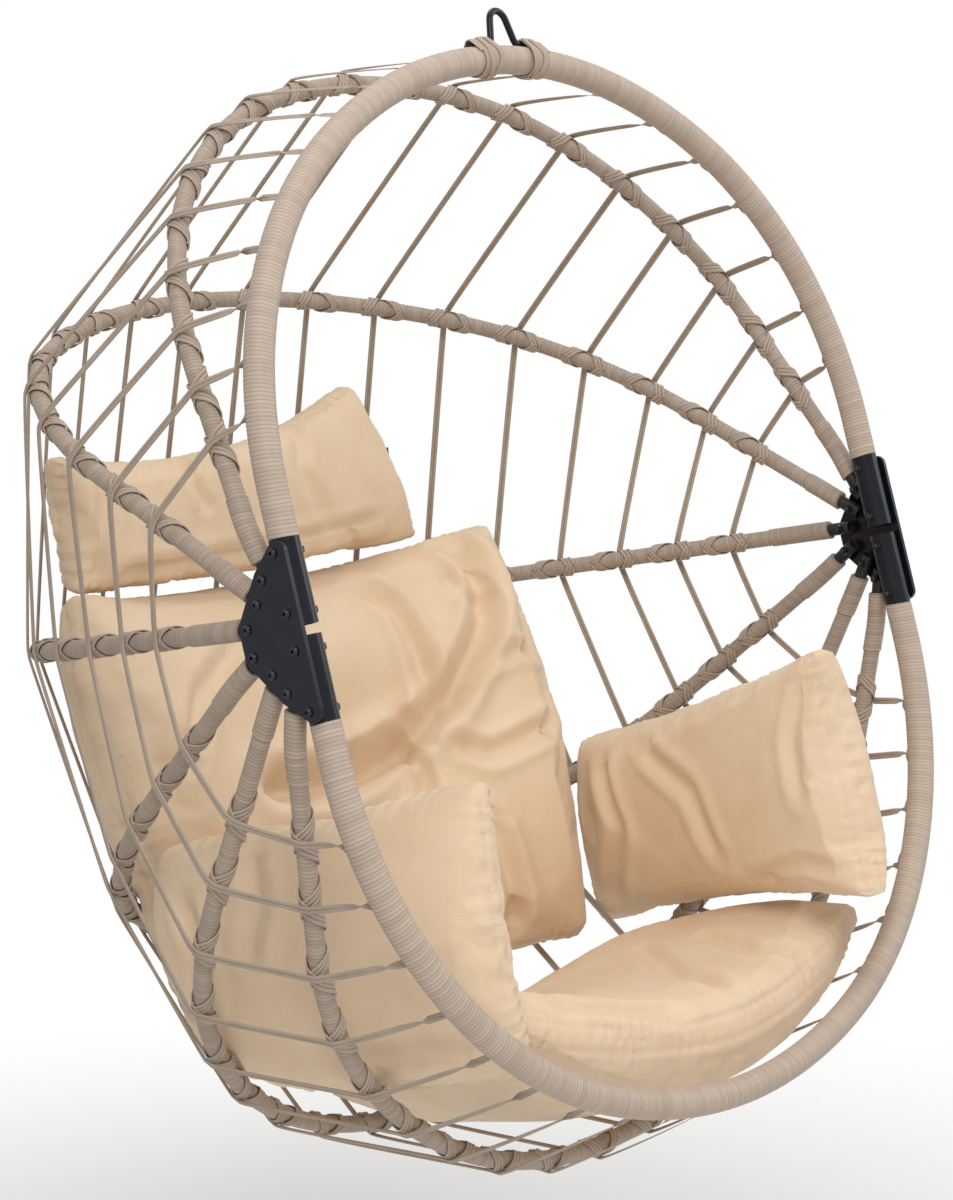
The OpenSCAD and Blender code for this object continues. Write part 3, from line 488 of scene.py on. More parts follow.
lacing = {  # strands and bands in metres, reaches in mm
    "strand": 0.0044, "strandThick": 0.0034, "bandStrand": 0.0046, "bandThick": 0.0021,
    "cordOut": 14.4, "ringOut": 18.9, "overWrap": 2.7, "neck": 5.5, "bend": 7.0, "spanSteps": 14,
    "tailAlong": 13.0, "tailDrop": 3.6, "tailLift": 3, "tailTurn": 1.57,
    "bandReach": 28.0, "bandRadii": {1: 11.2, -1: 12.0}, "bandTuck": 0.9, "bandTuckFrom": 0.93, "bandSteps": 25,
}
middleCord = basket["cords"] // 2 + 1
cordNumbers = range(1 - middleCord, middleCord)


def unit(v):
    v = np.asarray(v, float)
    return v / max(np.linalg.norm(v), 1e-12)


def bezier(a, b, ta, tb, reach, count):
    c, d = a + ta * reach, b - tb * reach
    t = np.linspace(0, 1, count)[:, None]
    return (1 - t) ** 3 * a + 3 * (1 - t) ** 2 * t * c + 3 * (1 - t) * t ** 2 * d + t ** 3 * b


def cordKnot(i, k):  # where cord k is tied on hoop i, which way is out there, and the hoop's own way
    point, outward, along = hoops[i].at(laceAt(i, k))
    if i in (0, len(hoops) - 1):
        rear = turnDown([0, 1, 0])
        proud = lacing["overWrap"] if i == 0 and k in (0, 1) else 0  # these two pass over the loop's bindings
        return point + rear * (lacing["ringOut"] + proud) * mm, rear, along
    return point + outward * lacing["cordOut"] * mm, outward, along


def cordRoute(k):
    last = len(hoops) - 1
    knots = [cordKnot(i, k) for i in range(last + 1)]
    places = [point for point, _, _ in knots]
    heads = []
    for i, (_, out, _) in enumerate(knots):
        across = unit(places[min(i + 1, last)] - places[max(i - 1, 0)])
        heads.append(unit(across - out * np.dot(across, out)))
    necks = [(p - head * lacing["neck"] * mm, p + head * lacing["neck"] * mm) for p, head in zip(places, heads)]
    rows, steps = [], lacing["spanSteps"]
    for i, (p, out, _) in enumerate(knots):
        if i > 0:
            rows.append((necks[i][0], out))
        rows.append((p, out))
        if i < last:
            rows.append((necks[i][1], out))
            a, b = necks[i][1], necks[i + 1][0]
            reach = min(0.3 * np.linalg.norm(b - a), lacing["bend"] * mm)
            for j, q in enumerate(bezier(a, b, heads[i], heads[i + 1], reach, steps)[1:-1], 1):
                share = j / (steps - 1)
                rows.append((q, unit(out * (1 - share) + knots[i + 1][1] * share)))
    tails = []
    for i, end in ((0, -1), (last, 1)):  # the ends bend along the back of the ring and go under its winding
        p, out, along = knots[i]
        tails.append([])
        for t in (0.25, 0.5, 0.75, 1.0):
            lift = heads[i] * end * (lacing["tailLift"] * math.sin(t * lacing["tailTurn"])) * mm
            drop = out * (lacing["tailDrop"] * t * t) * mm
            tails[-1].append((p + along * (t * lacing["tailAlong"]) * mm - drop + lift, out))
    return tails[0][::-1] + rows + tails[1]


def bandRows(hoop, s, hand):  # one of the two bands that cross round a rib at a cord
    rows = []
    for t in np.linspace(-1, 1, lacing["bandSteps"]):
        point, outward, along = hoop.at(s + lacing["bandReach"] * t)
        side = np.cross(along, outward)
        angle = math.pi * t * hand
        away = outward * math.cos(angle) + side * math.sin(angle)
        rise = lacing["bandRadii"][hand] - lacing["bandTuck"] * (abs(t) > lacing["bandTuckFrom"])
        rows.append((point + away * rise * mm, away))
    return rows


for k in cordNumbers:
    cord = grow(f"lacingCord{k + middleCord:02d}", strip, [cordRoute(k)], {
        "Width": lacing["strand"], "Thickness": lacing["strandThick"], "Strands": 2, "Overlap": 0.9, "Sides": 8,
        "Material": cordPaint})
    smooth(cord)
    settle(cord, "basket", "lacing_cord", f"lacing_{k + middleCord:02d}")
for i, hoop in enumerate(ribs, 1):
    runs = [bandRows(hoop, laceAt(i, k), hand) for k in cordNumbers for hand in (1, -1)]
    bands = grow(f"rib{i}Bands", strip, runs, {
        "Width": lacing["bandStrand"], "Thickness": lacing["bandThick"], "Strands": 3, "Overlap": 0.95, "Sides": 6,
        "Material": bandPaint})
    smooth(bands)
    settle(bands, "basket", "wound_rattan")
print("cords made")

# loop and its bindings

loop = {"rod": 8.0, "bend": 14.0, "footX": 28.0, "splay": 15.0, "footLength": 32.0, "toe": 9.0,
        "tubeHalf": 14, "play": 0.3, "tape": 0.0042, "tapeThick": 0.0022, "turns": 8, "turnSteps": 28,
        "overRing": 17.9, "overFoot": 6.2, "crossLift": 1.9, "crossSlant": 9}


def loopPath():
    footR = upperRing.backR + loop["tubeHalf"] + loop["rod"] / 2 + loop["play"]
    fall = math.asin(loop["footX"] / footR)
    footTurn = loop["footLength"] / footR
    splay = math.radians(loop["splay"])
    c, s = math.cos(splay), math.sin(splay)
    toeC = upperRing.backC + (footR + loop["toe"]) * np.array([math.sin(fall), math.cos(fall)])
    legFoot = toeC - loop["toe"] * np.array([c, s])
    legLength = (legFoot[0] - loop["bend"] * c) / s
    bendC = legFoot + legLength * np.array([-s, c]) - loop["bend"] * np.array([c, s])
    half = [bendC + loop["bend"] * np.array([math.sin(a), math.cos(a)])
            for a in np.linspace(0, math.pi / 2 - splay, 12)]
    half += [legFoot + legLength * t * np.array([-s, c]) for t in (0.75, 0.5, 0.25)]
    start, turn = math.pi + splay, math.pi / 2 - splay + fall
    half += [toeC + loop["toe"] * np.array([math.cos(start + turn * t), math.sin(start + turn * t)])
             for t in np.linspace(0, 1, 9)]
    half += [upperRing.backC + footR * np.array([math.sin(fall + footTurn * t), math.cos(fall + footTurn * t)])
             for t in np.linspace(0.1, 1, 6)]
    path = [(-x, u) for x, u in half[:0:-1]] + [(x, u) for x, u in half]
    return [(hang(upperRing.basketPoint(x, u)), turnDown([0, 1, 0])) for x, u in path], footR, fall, footTurn


loopRows, footR, footFall, footTurn = loopPath()
rod = grow("hangingLoopRod", strip, [loopRows], {
    "Width": loop["rod"] * mm, "Thickness": loop["rod"] * mm, "Strands": 1, "Overlap": 1.0, "Sides": 24,
    "Material": hubPaint})
smooth(rod)
settle(rod, "basket", "loop_steel", "hanging_loop")


def bindingRows(side, start, end, slant, lift):  # one tape round the ring and the foot of the loop on it
    rows, steps = [], loop["turnSteps"]
    gap = footR - upperRing.backR
    big, small = loop["overRing"] + lift, loop["overFoot"] + lift
    lean = math.acos((big - small) / gap)
    for j in range(int(loop["turns"] * steps * (end - start)) + 1):
        whole = j / steps
        angle = (whole % 1) * 2 * math.pi - math.pi
        if abs(angle) < lean:
            flat = np.array([gap + small * math.cos(angle), small * math.sin(angle)])
        else:
            flat = np.array([big * math.cos(angle), big * math.sin(angle)])
        t = start + whole / loop["turns"] + slant * math.sin(angle) / loop["footLength"]
        fall = footFall + footTurn * t
        r = upperRing.backR + flat[0]
        x, u = upperRing.backC + r * np.array([math.sin(fall), math.cos(fall)])
        point = upperRing.basketPoint(x * side, u) + np.array([0, -flat[1], 0])
        radial = np.array([math.sin(fall) * side, 0, math.cos(fall)])
        rows.append((hang(point), turnDown(radial * math.cos(angle) + np.array([0, -1, 0]) * math.sin(angle))))
    return rows


tapes = [bindingRows(side, 0.02, 0.98, 0, 0) for side in (-1, 1)]
tapes += [bindingRows(side, 0.2, 0.2 + 2 / loop["turns"], slant * loop["crossSlant"], loop["crossLift"])
          for side in (-1, 1) for slant in (-1, 1)]
bindings = grow("loopFootBindings", strip, tapes, {
    "Width": loop["tape"], "Thickness": loop["tapeThick"], "Strands": 1, "Overlap": 1.0, "Sides": 8,
    "Material": bandPaint})
smooth(bindings)
settle(bindings, "basket", "wound_rattan", "loop_foot_wraps")
print("loop made")

# carried-over metal

metal = {name: hubPaint for name in ("left_hub", "right_hub")}
metal.update({f"{side}_{kind}": boltPaint for side in ("left", "right")
              for kind in ("ring_bolts", "ring_nuts", "rib_bolts", "rib_nuts")})
metal.update({name: tubePaint for name in ("upper_ring_tube", "lower_ring_tube")})
metal.update({f"rib_{i}_tube": tubePaint for i in range(1, 7)})
for node, paint in metal.items():
    carried = bpy.data.objects[node]
    for place in range(max(1, len(carried.material_slots))):
        if not carried.material_slots:
            carried.data.materials.append(paint)
        carried.material_slots[place].link = "OBJECT"
        carried.material_slots[place].material = paint
print("metal painted")

# cushions

# Sizes and places are in mm. "push" is how far the way a cushion lies pushes it out of shape, rows
# from the top down, each left to right: across, up, out. A fold is its face, depth, width and stops.
cushions = {
    "seat": {"name": "seatCushion", "node": "seat_cushion", "body": "seat", "size": (620, 470, 128),
             "cuts": (0, 0.06, 0, 0.18), "taper": -0.1, "curl": 520, "tuft": None, "place": (51.5, 262, -535.4),
             "turns": ((-1, "X"),), "voxel": 0.006, "grow": 0.014, "fill": 0.6,
             "push": [[[1, 1, -1], [-6, -7, 12], [-7, -9, 14]],
                      [[7, 0, -1], [0, -1, 0], [-1, -2, -1]],
                      [[3, 6, -2], [0, 8, -2], [2, 2, -8]]],
             "folds": [(1, 9, 16, [(0.58, 0.15), (0.2, -0.45), (0.08, -0.9)]),
                       (1, 7, 14, [(0.6, -0.26), (0.45, -0.75), (0.55, -0.95)]),
                       (1, 7, 15, [(-0.71, -0.8), (-0.5, -0.9), (-0.22, -0.95)])]},
    "back": {"name": "backCushion", "node": "back_cushion", "body": "backrest", "size": (770, 570, 245),
             "cuts": (0, 0.14, 0.13, 0.08), "taper": 0.08, "curl": 490, "tuft": (44, 40, 62, 62),
             "place": (-4.3, 578.6, -156.8), "turns": ((82, "X"),), "voxel": 0.0075, "grow": 0.018, "fill": 0.7,
             "push": [[[30, 10, -65], [36, 31, -19], [-10, 13, -1]],
                      [[9, 28, -48], [10, -5, 5], [-53, -24, -12]],
                      [[-19, 28, -24], [4, -13, 13], [4, -18, 1]]],
             "folds": [(1, 26, 20, [(0.28, 0.12), (0.4, 0.23), (0.54, 0.39), (0.65, 0.51), (0.74, 0.68),
                                    (0.76, 0.83), (0.73, 0.94)]),
                       (1, 34, 24, [(0.28, 0.12), (0.15, 0.05), (-0.09, -0.02), (-0.34, -0.07), (-0.56, -0.06)]),
                       (1, 15, 16, [(0.33, 0.18), (0.36, 0.33), (0.36, 0.51), (0.35, 0.69), (0.25, 0.84)]),
                       (1, 14, 14, [(0.23, 0.09), (0.24, -0.07), (0.21, -0.19)]),
                       (1, 14, 16, [(0.43, -0.36), (0.49, -0.69), (0.55, -0.93)]),
                       (1, 11, 14, [(0.96, 0.1), (0.76, 0.01), (0.5, -0.06), (0.38, 0.03)]),
                       (1, 7, 12, [(0.93, 0.35), (0.75, 0.39), (0.56, 0.33)]),
                       (1, 9, 13, [(0.8, 0.66), (0.65, 0.66), (0.6, 0.79)]),
                       (1, 11, 16, [(-0.41, 0.65), (-0.7, 0.4), (-0.85, 0.07)])]},
    "head": {"name": "headPillow", "node": "head_pillow", "body": "headrest", "size": (560, 200, 100),
             "cuts": (0.04, 0, 0.1, 0), "taper": -0.05, "curl": None, "tuft": None, "place": (-48, 553.3, 221.2),
             "turns": ((105, "X"), (6, "Z")), "voxel": 0.005, "grow": 0.014, "fill": 0.7,
             "push": [[[-4, -5, -3], [-19, -23, -14], [-22, -2, -20]],
                      [[0, 14, -3], [-5, -6, -1], [3, -5, 6]],
                      [[19, 37, 7], [-8, -14, 8], [10, -16, 16]]],
             "folds": [(1, 8, 14, [(-0.8, 0.83), (-0.9, -0.16), (-0.93, -0.8)]),
                       (1, 9, 10, [(-0.26, 0.98), (-0.34, 0.58), (-0.31, 0.07)]),
                       (1, 6, 14, [(0.49, 1.0), (0.33, 0.31), (0.41, -0.56)]),
                       (1, 6, 13, [(-0.8, -0.7), (-0.38, -0.62), (0.23, -0.6), (0.74, -0.59)])]},
    "right": {"name": "rightArmPillow", "node": "right_arm_pillow", "body": "right_armrest", "size": (450, 300, 130),
             "cuts": (0.05, 0, 0.07, 0), "taper": 0, "curl": None, "tuft": None, "place": (321.7, 206.8, -266),
             "turns": ((-112, "Z"), (90, "X")), "voxel": 0.005, "grow": 0.015, "fill": 0.75,
             "push": [[[-3, -58, 35], [10, -29, -7], [24, -15, -52]],
                      [[-31, -29, 39], [1, -17, -8], [38, -9, -53]],
                      [[-78, 0, 23], [-17, -10, -24], [47, -13, -30]]],
             "folds": [(1, 9, 16, [(-0.59, 0.68), (-0.45, -0.07), (-0.72, -0.76)]),
                       (1, 7, 15, [(-0.21, 0.68), (0.18, 0.14), (0.23, -0.52)]),
                       (1, 6, 12, [(0.95, 0.76), (0.85, 0.31), (0.84, -0.17)]),
                       (1, 5, 11, [(0.95, -0.76), (0.74, -0.65), (0.36, -0.75)])]},
    "left": {"name": "leftArmPillow", "node": "left_arm_pillow", "body": "left_armrest", "size": (450, 300, 130),
             "cuts": (0.05, 0, 0.07, 0), "taper": 0, "curl": None, "tuft": None, "place": (-323.4, 212.5, -297),
             "turns": ((107, "Z"), (90, "X"), (6, "Z")), "voxel": 0.005, "grow": 0.015, "fill": 0.75,
             "push": [[[54, -25, 3], [16, -28, 15], [1, -62, -3]],
                      [[25, -2, -27], [23, -23, -9], [28, -23, -5]],
                      [[34, -26, -28], [4, -55, 0], [-20, -13, 33]]],
             "folds": [(1, 6, 12, [(-0.6, 0.93), (-0.65, 0.44), (-0.55, -0.07)]),
                       (1, 6, 12, [(-0.91, 0.0), (-0.71, -0.36), (-0.74, -0.72)]),
                       (-1, 8, 15, [(0.75, 0.44), (0.65, -0.04), (0.74, -0.6)]),
                       (-1, 7, 15, [(0.36, 0.78), (0.25, 0.35), (0.35, -0.07)]),
                       (-1, 6, 14, [(-0.12, -0.76), (-0.5, -0.74), (-0.8, -0.85)])]},
}
seamLook = {"edge": 30.0, "plump": 0.8, "groove": 2.2, "grooveWidth": 5.0, "pucker": 1.6, "puckerReach": 22.0,
            "puckerLength": 17.0, "step": 0.005, "slack": (9.0, 3.2), "smallSlack": (21.0, 1.6)}
foldLook = {"depth": 1.4, "narrow": 0.85, "reach": 0.03, "ridge": 0.32, "ridgeAt": 1.9, "ridgeWidth": 0.8, "steps": 60}
clearance = {"skin": 1.0, "swell": 7.0, "look": 16.0, "margin": 4.8}
sewing = {"cells": 40, "seamIn": 3.0, "frames": 20, "pressure": 4.0, "quickVoxel": 1.6}


def bulge(t):  # how much the start, middle and end of a side take of a push
    return np.stack([t * (t - 1) / 2, 1 - t * t, t * (t + 1) / 2])


def cushionFace(c, u, v, face):  # a point of the cushion in its own frame, u and v from -1 to 1
    width, height, thick = c["size"]
    cut = c["cuts"]

    def cutBack(middle, end, t):
        return 1 - middle * (1 - t * t) - end * t * t
    rim = np.clip((1 - u * u) * (1 - v * v), 0, None)
    x = width / 2 * u * cutBack(cut[0], cut[1], v) * (1 + c["taper"] * v)
    y = height / 2 * v * cutBack(cut[2], cut[3], u)
    edge = seamLook["edge"]
    halfThick = edge / 2 + (thick - edge) / 2 * rim ** (seamLook["plump"] / 2)
    dip = 0
    if c["tuft"]:
        tx, ty, depth, spread = c["tuft"]
        dip = depth * np.exp(-((x - tx) ** 2 + (y - ty) ** 2) / (2 * spread ** 2)) * np.sqrt(rim)
    bend = x * x / (2 * c["curl"]) if c["curl"] else 0
    plain = np.stack([x, y, bend + face * (halfThick - dip)], -1)
    return plain + np.einsum("r...,c...,rck->...k", bulge(v)[::-1], bulge(u), np.array(c["push"], float))


def cushionMatrix(c):
    spin = Matrix.Identity(4)
    for angle, axis in c["turns"]:
        spin = spin @ Matrix.Rotation(math.radians(angle), 4, axis)
    lean = Matrix.Rotation(-math.radians(basket["lean"]), 4, "X")
    return lean @ Matrix.Translation(Vector(c["place"]) - Vector((0, 0, basket["eye"]))) @ spin


def toRow(c, points):
    m = np.array(cushionMatrix(c))
    return (points @ m[:3, :3].T + m[:3, 3]) * mm


def cushionMesh(c, count, shrink):
    t = np.sin(np.linspace(-math.pi / 2, math.pi / 2, count + 1))
    u, v = np.meshgrid(t, t, indexing="ij")
    n = count + 1
    top, bottom = (cushionFace(c, u, v, face).reshape(-1, 3) for face in (1, -1))
    points = np.vstack([top, bottom])
    middle = points.mean(0)
    size = np.array(c["size"], float)
    points = middle + (points - middle) * (1 - 2 * shrink / size)
    faces = []
    for i in range(count):
        for j in range(count):
            a, b, d, e = i * n + j, (i + 1) * n + j, (i + 1) * n + j + 1, i * n + j + 1
            faces += [(a, b, d, e), (a + n * n, e + n * n, d + n * n, b + n * n)]
    ringIds = [i * n for i in range(n)] + [(n - 1) * n + j for j in range(1, n)] + \
        [i * n + n - 1 for i in range(n - 2, -1, -1)] + [j for j in range(n - 2, 0, -1)]
    for a, b in zip(ringIds, ringIds[1:] + ringIds[:1]):
        faces.append((a, a + n * n, b + n * n, b))
    return points, faces, ringIds, n * n


def meshObject(name, points, faces, paint):
    data = bpy.data.meshes.new(name)
    data.from_pydata([tuple(p) for p in points], [], faces)
    data.materials.append(paint)
    made = bpy.data.objects.new(name, data)
    bpy.context.scene.collection.objects.link(made)
    return made


def pointsOf(data):
    flat = np.empty(len(data.vertices) * 3)
    data.vertices.foreach_get("co", flat)
    return flat.reshape(-1, 3)


def normalsOf(data):
    flat = np.empty(len(data.vertices) * 3)
    data.vertices.foreach_get("normal", flat)
    return flat.reshape(-1, 3)


def putPoints(data, points):
    data.vertices.foreach_set("co", np.ascontiguousarray(points).ravel())
    data.update()


def applied(piece):
    plain = bpy.data.meshes.new_from_object(piece.evaluated_get(bpy.context.evaluated_depsgraph_get()))
    old = piece.data
    piece.modifiers.clear()
    piece.data = plain
    bpy.data.meshes.remove(old)


def inflate(piece, c):  # the cloth sim: pressure inside, no gravity, and a cap on how far a point goes
    scene = bpy.context.scene
    cloth = piece.modifiers.new("cloth", "CLOTH")
    cloth.settings.quality = 4
    cloth.settings.mass = 0.3
    cloth.settings.tension_stiffness = 12
    cloth.settings.compression_stiffness = 12
    cloth.settings.bending_stiffness = 0.6
    cloth.settings.use_pressure = True
    cloth.settings.uniform_pressure_force = sewing["pressure"]
    cloth.settings.effector_weights.gravity = 0
    cloth.collision_settings.use_collision = False
    cloth.collision_settings.use_self_collision = False
    cloth.point_cache.frame_start, cloth.point_cache.frame_end = 1, sewing["frames"]
    for number in range(1, sewing["frames"] + 1):
        scene.frame_set(number)
    start = pointsOf(piece.data)
    applied(piece)
    scene.frame_set(1)
    moved = pointsOf(piece.data) - start
    far = np.linalg.norm(moved, axis=1, keepdims=True)
    putPoints(piece.data, start + moved * np.minimum(1, c["grow"] / np.maximum(far, 1e-9)))
    return start


def solidTree(objects):  # one search tree over the CAD meshes that a cushion lies beside
    corners, faces, start = [], [], 0
    for thing in objects:
        thing.data.calc_loop_triangles()
        corners.append(pointsOf(thing.data))
        three = np.empty(len(thing.data.loop_triangles) * 3, int)
        thing.data.loop_triangles.foreach_get("vertices", three)
        faces.append(three.reshape(-1, 3) + start)
        start += len(corners[-1])
    return BVHTree.FromPolygons(np.vstack(corners).tolist(), np.vstack(faces).tolist())


def refit(piece, c, lines):  # the sewn width and height back to those that the cushion was cut to
    m = np.array(cushionMatrix(c))
    turn, shift = m[:3, :3], m[:3, 3]
    cut = cushionMesh(c, sewing["cells"], 0)[0]
    own = (pointsOf(piece.data) / mm - shift) @ turn
    low, high = own.min(0), own.max(0)
    scale = (cut.max(0) - cut.min(0)) / (high - low)
    scale[2], first = 1.0, cut.min(0)
    first[2] = low[2]

    def fitted(points):
        return toRow(c, first + ((points / mm - shift) @ turn - low) * scale)
    putPoints(piece.data, fitted(pointsOf(piece.data)))
    return [fitted(line) for line in lines]


def keepClear(piece, c):  # the cloth stays where the solid is, and swells only where nothing is near
    points, faces, _, _ = cushionMesh(c, 90, 0)
    own = BVHTree.FromPolygons(toRow(c, points).tolist(), faces)
    beside = solidTree([bpy.data.objects[name] for name in frame["nodes"] if name != c["node"]])
    co = pointsOf(piece.data)
    for i, p in enumerate(co):
        spot, facing, _, _ = own.find_nearest(p)
        out = (Vector(p) - spot).dot(facing)
        if out > -clearance["skin"] * mm:
            _, _, _, room = beside.find_nearest(spot, clearance["look"] * mm)
            free = clearance["swell"] if room is None else min(clearance["swell"], room / mm - clearance["margin"])
            room = max(free, -clearance["skin"])
            if out > room * mm:
                co[i] = p - np.array(facing) * (out - room * mm)
    putPoints(piece.data, co)


def foldCloth(piece, c):  # long creases drawn into the face that they lie on
    co, normal = pointsOf(piece.data), normalsOf(piece.data)
    push = np.zeros(len(co))
    for face, depth, width, stops in c["folds"]:
        stops = np.array(stops, float)
        at = np.linspace(0, len(stops) - 1, foldLook["steps"])
        u, v = (np.interp(at, np.arange(len(stops)), stops[:, k]) for k in (0, 1))
        kernel = np.ones(9) / 9
        u, v = (np.convolve(np.pad(line, 4, "edge"), kernel, "valid") for line in (u, v))
        line = toRow(c, cushionFace(c, u, v, face))
        inward = toRow(c, cushionFace(c, u, v, -face)) - line
        tree = nearTree(line)
        for i, p in enumerate(co):
            _, j, far = tree.find(p)
            if far > 3 * width * mm + foldLook["reach"] or np.dot(normal[i], inward[j]) > 0:
                continue
            side = far / (foldLook["narrow"] * width * mm)
            ends = min(1.0, 2.2 * math.sin(math.pi * (j + 4) / (foldLook["steps"] + 7)))  # shallow at both ends
            ridge = foldLook["ridge"] * math.exp(-((side - foldLook["ridgeAt"]) / foldLook["ridgeWidth"]) ** 2)
            push[i] += foldLook["depth"] * depth * ends * (ridge - math.exp(-side ** 2))
    putPoints(piece.data, co + normal * push[:, None] * mm)


def nearTree(points):
    tree = KDTree(len(points))
    for i, p in enumerate(points):
        tree.insert(p, i)
    tree.balance()
    return tree


def smoothNoise(points, scale, seed):
    offset = Vector((seed * 3.1, seed * 1.7, -seed * 2.3))
    return np.array([noise.noise(Vector(p) * scale + offset) for p in points])


def carrySeam(seam, tree, moved):  # the seam goes where the cloth took it
    closed = np.vstack([seam, seam[:1]])
    length = np.concatenate([[0], np.cumsum(np.linalg.norm(np.diff(closed, axis=0), axis=1))])
    at = np.linspace(0, length[-1], int(length[-1] / seamLook["step"]))[:-1]
    line = np.stack([np.interp(at, length, closed[:, k]) for k in range(3)], -1)
    carried = np.array([p + np.mean([moved[i] for _, i, _ in tree.find_n(p, 6)], axis=0) for p in line])
    wrapped = np.vstack([carried[-2:], carried, carried[:2]])
    kernel = np.ones(5) / 5
    return np.stack([np.convolve(wrapped[:, k], kernel, "valid") for k in range(3)], -1), at


def sewCushion(c):
    points, faces, ringIds, layer = cushionMesh(c, sewing["cells"], sewing["seamIn"])
    row = toRow(c, points)
    piece = meshObject(c["name"], row, faces, clothPaint)
    remesh = piece.modifiers.new("remesh", "REMESH")
    remesh.mode, remesh.voxel_size = "VOXEL", c["voxel"] * 1
    applied(piece)
    rest = inflate(piece, c)
    tree, moved = nearTree(rest), pointsOf(piece.data) - rest
    seams = [carrySeam(row[[i + face for i in ringIds]], tree, moved) for face in (0, layer)]
    relax = piece.modifiers.new("relax", "SMOOTH")
    relax.factor, relax.iterations = 0.5, 3
    detail = piece.modifiers.new("detail", "SUBSURF")
    detail.levels = detail.render_levels = 1
    applied(piece)
    lines = refit(piece, c, [line for line, _ in seams])
    keepClear(piece, c)
    foldCloth(piece, c)
    shapeSeams(piece, c, lines, [at for _, at in seams])
    smooth(piece)
    settle(piece, c["body"], "cushion_cloth", c["node"])


def shapeSeams(piece, c, lines, reaches):  # the sewn grooves, the gathers beside them and the cloth's slack
    data = piece.data
    co, normal = pointsOf(data), normalsOf(data)
    along = np.concatenate([at + 10 * i for i, at in enumerate(reaches)])
    tree = nearTree(np.vstack(lines))
    found = [tree.find(p) for p in co]
    far = np.array([f[2] for f in found]) * 1000
    where = along[[f[1] for f in found]]
    tall = 0.5 + 0.5 * np.sin(where * 41.0 + 2.0 * np.sin(where * 13.0))
    wave = np.sin(where * 2 * math.pi / (seamLook["puckerLength"] * mm) + 2.6 * np.sin(where * 29.0))
    push = -seamLook["groove"] * np.exp(-(far / seamLook["grooveWidth"]) ** 2)
    push += seamLook["pucker"] * wave * tall * np.exp(-(far / seamLook["puckerReach"]) ** 1.3)
    for (scale, height), seed in ((seamLook["slack"], 1 + len(c["name"])), (seamLook["smallSlack"], 7)):
        push += smoothNoise(co, scale, seed) * height
    putPoints(data, co + normal * push[:, None] * mm)


tab = {"name": "headPillowTab", "u": 1.0, "v": 0.0, "size": (17.0, 27.0, 2.2), "wave": 1.2, "rows": 9}


def sewTab(c):  # a plain folded tab caught in the seam
    long, tall, thick = tab["size"]
    base = cushionFace(c, np.array(tab["u"]), np.array(tab["v"]), 0)
    upper = [(t * long, 0.5) for t in np.linspace(-0.3, 0.85, 5)]
    bend = [(long * 0.97, 0.25), (long, 0.0), (long * 0.97, -0.25)]
    lower = [(t * long, -0.5) for t in np.linspace(0.85, -0.3, 5)]
    turns = upper + bend + lower
    points, faces, count, n = [], [], tab["rows"], len(turns)
    for j in range(count):
        y = (j / (count - 1) - 0.5) * tall
        points += [base + [a, y, b * thick + tab["wave"] * math.sin(3 * a / long) * y / tall] for a, b in turns]
    for j in range(count - 1):
        faces += [(j * n + i, j * n + (i + 1) % n, (j + 1) * n + (i + 1) % n, (j + 1) * n + i) for i in range(n)]
    faces += [tuple(range(n - 1, -1, -1)), tuple((count - 1) * n + i for i in range(n))]
    piece = meshObject(tab["name"], toRow(c, np.array(points)), faces, tabPaint)
    shaped = bmesh.new()
    shaped.from_mesh(piece.data)
    bmesh.ops.recalc_face_normals(shaped, faces=shaped.faces)
    shaped.to_mesh(piece.data)
    shaped.free()
    settle(piece, c["body"], "cushion_cloth")


for key, cushion in cushions.items():
    sewCushion(cushion)
    print(key, "cushion sewn")
sewTab(cushions["head"])
print("tab sewn")

# camera, lights and floor

cameraAt = Vector((-2.5645, -2.2279, -0.1471))
right, down = Vector((0.66079, -0.75057, 0)), Vector((-0.11525, -0.10150, -0.98814))
ahead = Vector((0.74167, 0.65295, -0.15358))
lens = bpy.data.cameras.new("camera")
lens.sensor_fit, lens.sensor_height, lens.lens = "VERTICAL", 24.0, 58.52
lens.clip_start, lens.clip_end = 0.05, 60
camera = bpy.data.objects.new("camera", lens)
camera.matrix_world = Matrix.Translation(cameraAt) @ Matrix((right, -down, -ahead)).transposed().to_4x4()
bpy.context.scene.collection.objects.link(camera)
bpy.context.scene.camera = camera

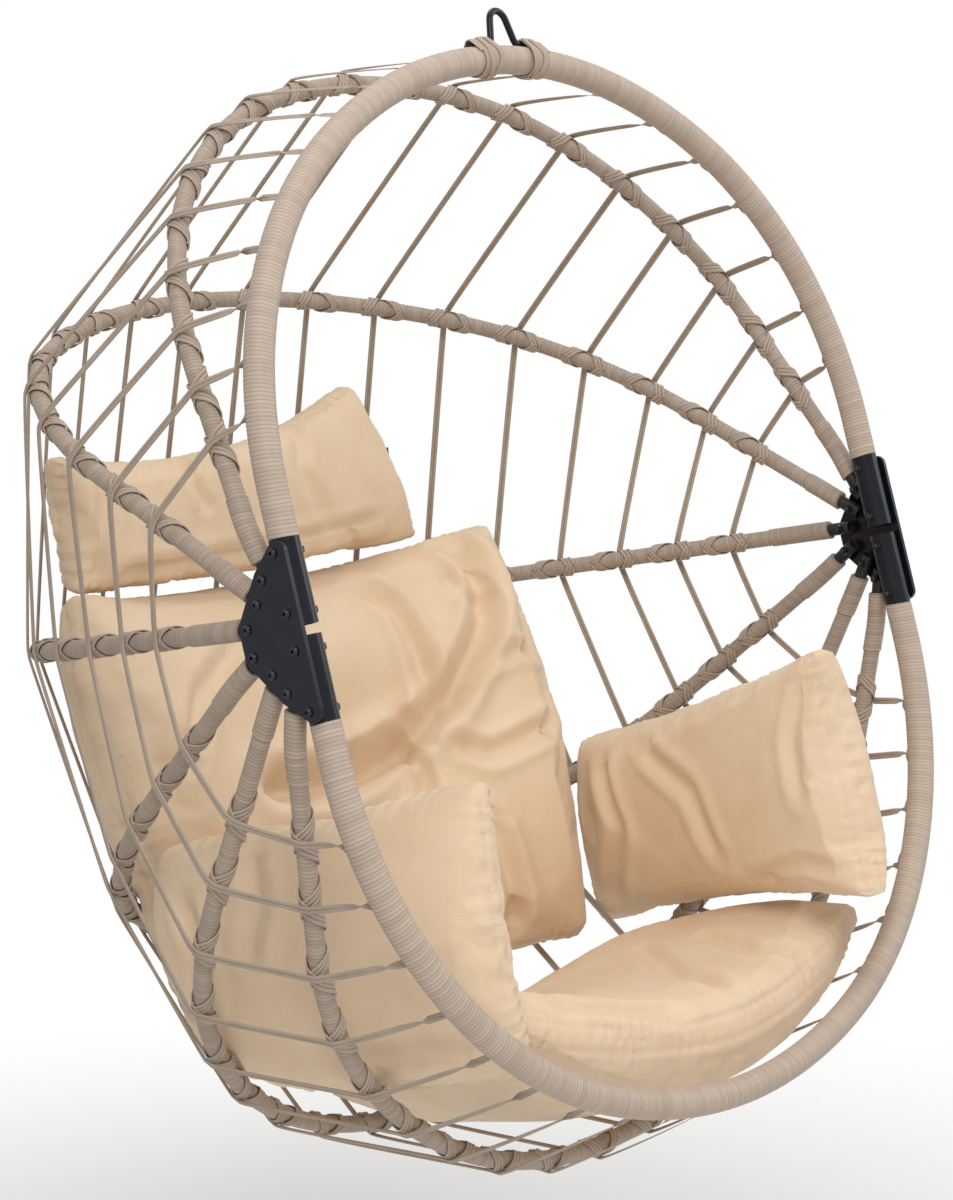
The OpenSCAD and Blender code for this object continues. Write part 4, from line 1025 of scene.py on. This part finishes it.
studio = {"world": 0.44, "floorZ": -1.9, "floorRadius": 2.6, "fade": (0.9, 2.4), "aim": (0, 0.1, -0.65),
          "lamps": [  # name, place, size, power
              ("key", (-2.6, -2.4, 2.6), 2.6, 108), ("side", (2.8, -2.2, 1.2), 2.4, 40),
              ("top", (0.2, 0.4, 3.0), 2.6, 38), ("low", (-1.8, -2.6, -1.5), 2.0, 14)]}
for name, place, size, power in studio["lamps"]:
    lamp = bpy.data.lights.new(name, "AREA")
    lamp.shape, lamp.size, lamp.energy = "DISK", size, power
    lampObject = bpy.data.objects.new(name, lamp)
    lampObject.location = place
    lampObject.rotation_euler = (Vector(studio["aim"]) - Vector(place)).to_track_quat("-Z", "Y").to_euler()
    bpy.context.scene.collection.objects.link(lampObject)

world = bpy.context.scene.world or bpy.data.worlds.new("world")
bpy.context.scene.world = world
world.use_nodes = True
sky = world.node_tree
sky.nodes.clear()
light, plain = sky.nodes.new("ShaderNodeBackground"), sky.nodes.new("ShaderNodeBackground")
light.inputs[0].default_value, light.inputs[1].default_value = (1, 0.985, 0.965, 1), studio["world"]
plain.inputs[0].default_value, plain.inputs[1].default_value = (1, 1, 1, 1), 1.0
seen, either = sky.nodes.new("ShaderNodeLightPath"), sky.nodes.new("ShaderNodeMixShader")
out = sky.nodes.new("ShaderNodeOutputWorld")
shown = seen.outputs["Is Camera Ray"]
for ray in ("Is Glossy Ray", "Is Transmission Ray"):
    more = sky.nodes.new("ShaderNodeMath")
    more.operation = "MAXIMUM"
    sky.links.new(shown, more.inputs[0])
    sky.links.new(seen.outputs[ray], more.inputs[1])
    shown = more.outputs[0]
sky.links.new(shown, either.inputs[0])
sky.links.new(light.outputs[0], either.inputs[1])
sky.links.new(plain.outputs[0], either.inputs[2])
sky.links.new(either.outputs[0], out.inputs[0])

p = Paint("studioFloor")
spot = p.node("ShaderNodeVectorMath", {"operation": "LENGTH"}, out=1, n0=p.place())
nearEdge, farEdge = studio["fade"]
fade = p.node("ShaderNodeMapRange", {"interpolation_type": "SMOOTHSTEP"}, n0=spot, n1=nearEdge, n2=farEdge,
              n3=1.0, n4=0.0)
floorPaint = p.finish((0.92, 0.92, 0.92, 1), 0.9, Specular_IOR_Level=0.1)
shader = [n for n in p.tree.nodes if n.type == "BSDF_PRINCIPLED"][0]
p.tree.links.new(fade.socket, shader.inputs["Alpha"])
t = np.linspace(0, 2 * math.pi, 65)[:-1]
rim = studio["floorRadius"] * np.stack([np.cos(t), np.sin(t), 0 * t], -1)
floor = meshObject("studioFloor", rim, [tuple(range(64))], floorPaint)
floor.location = (0, 0.1, studio["floorZ"])
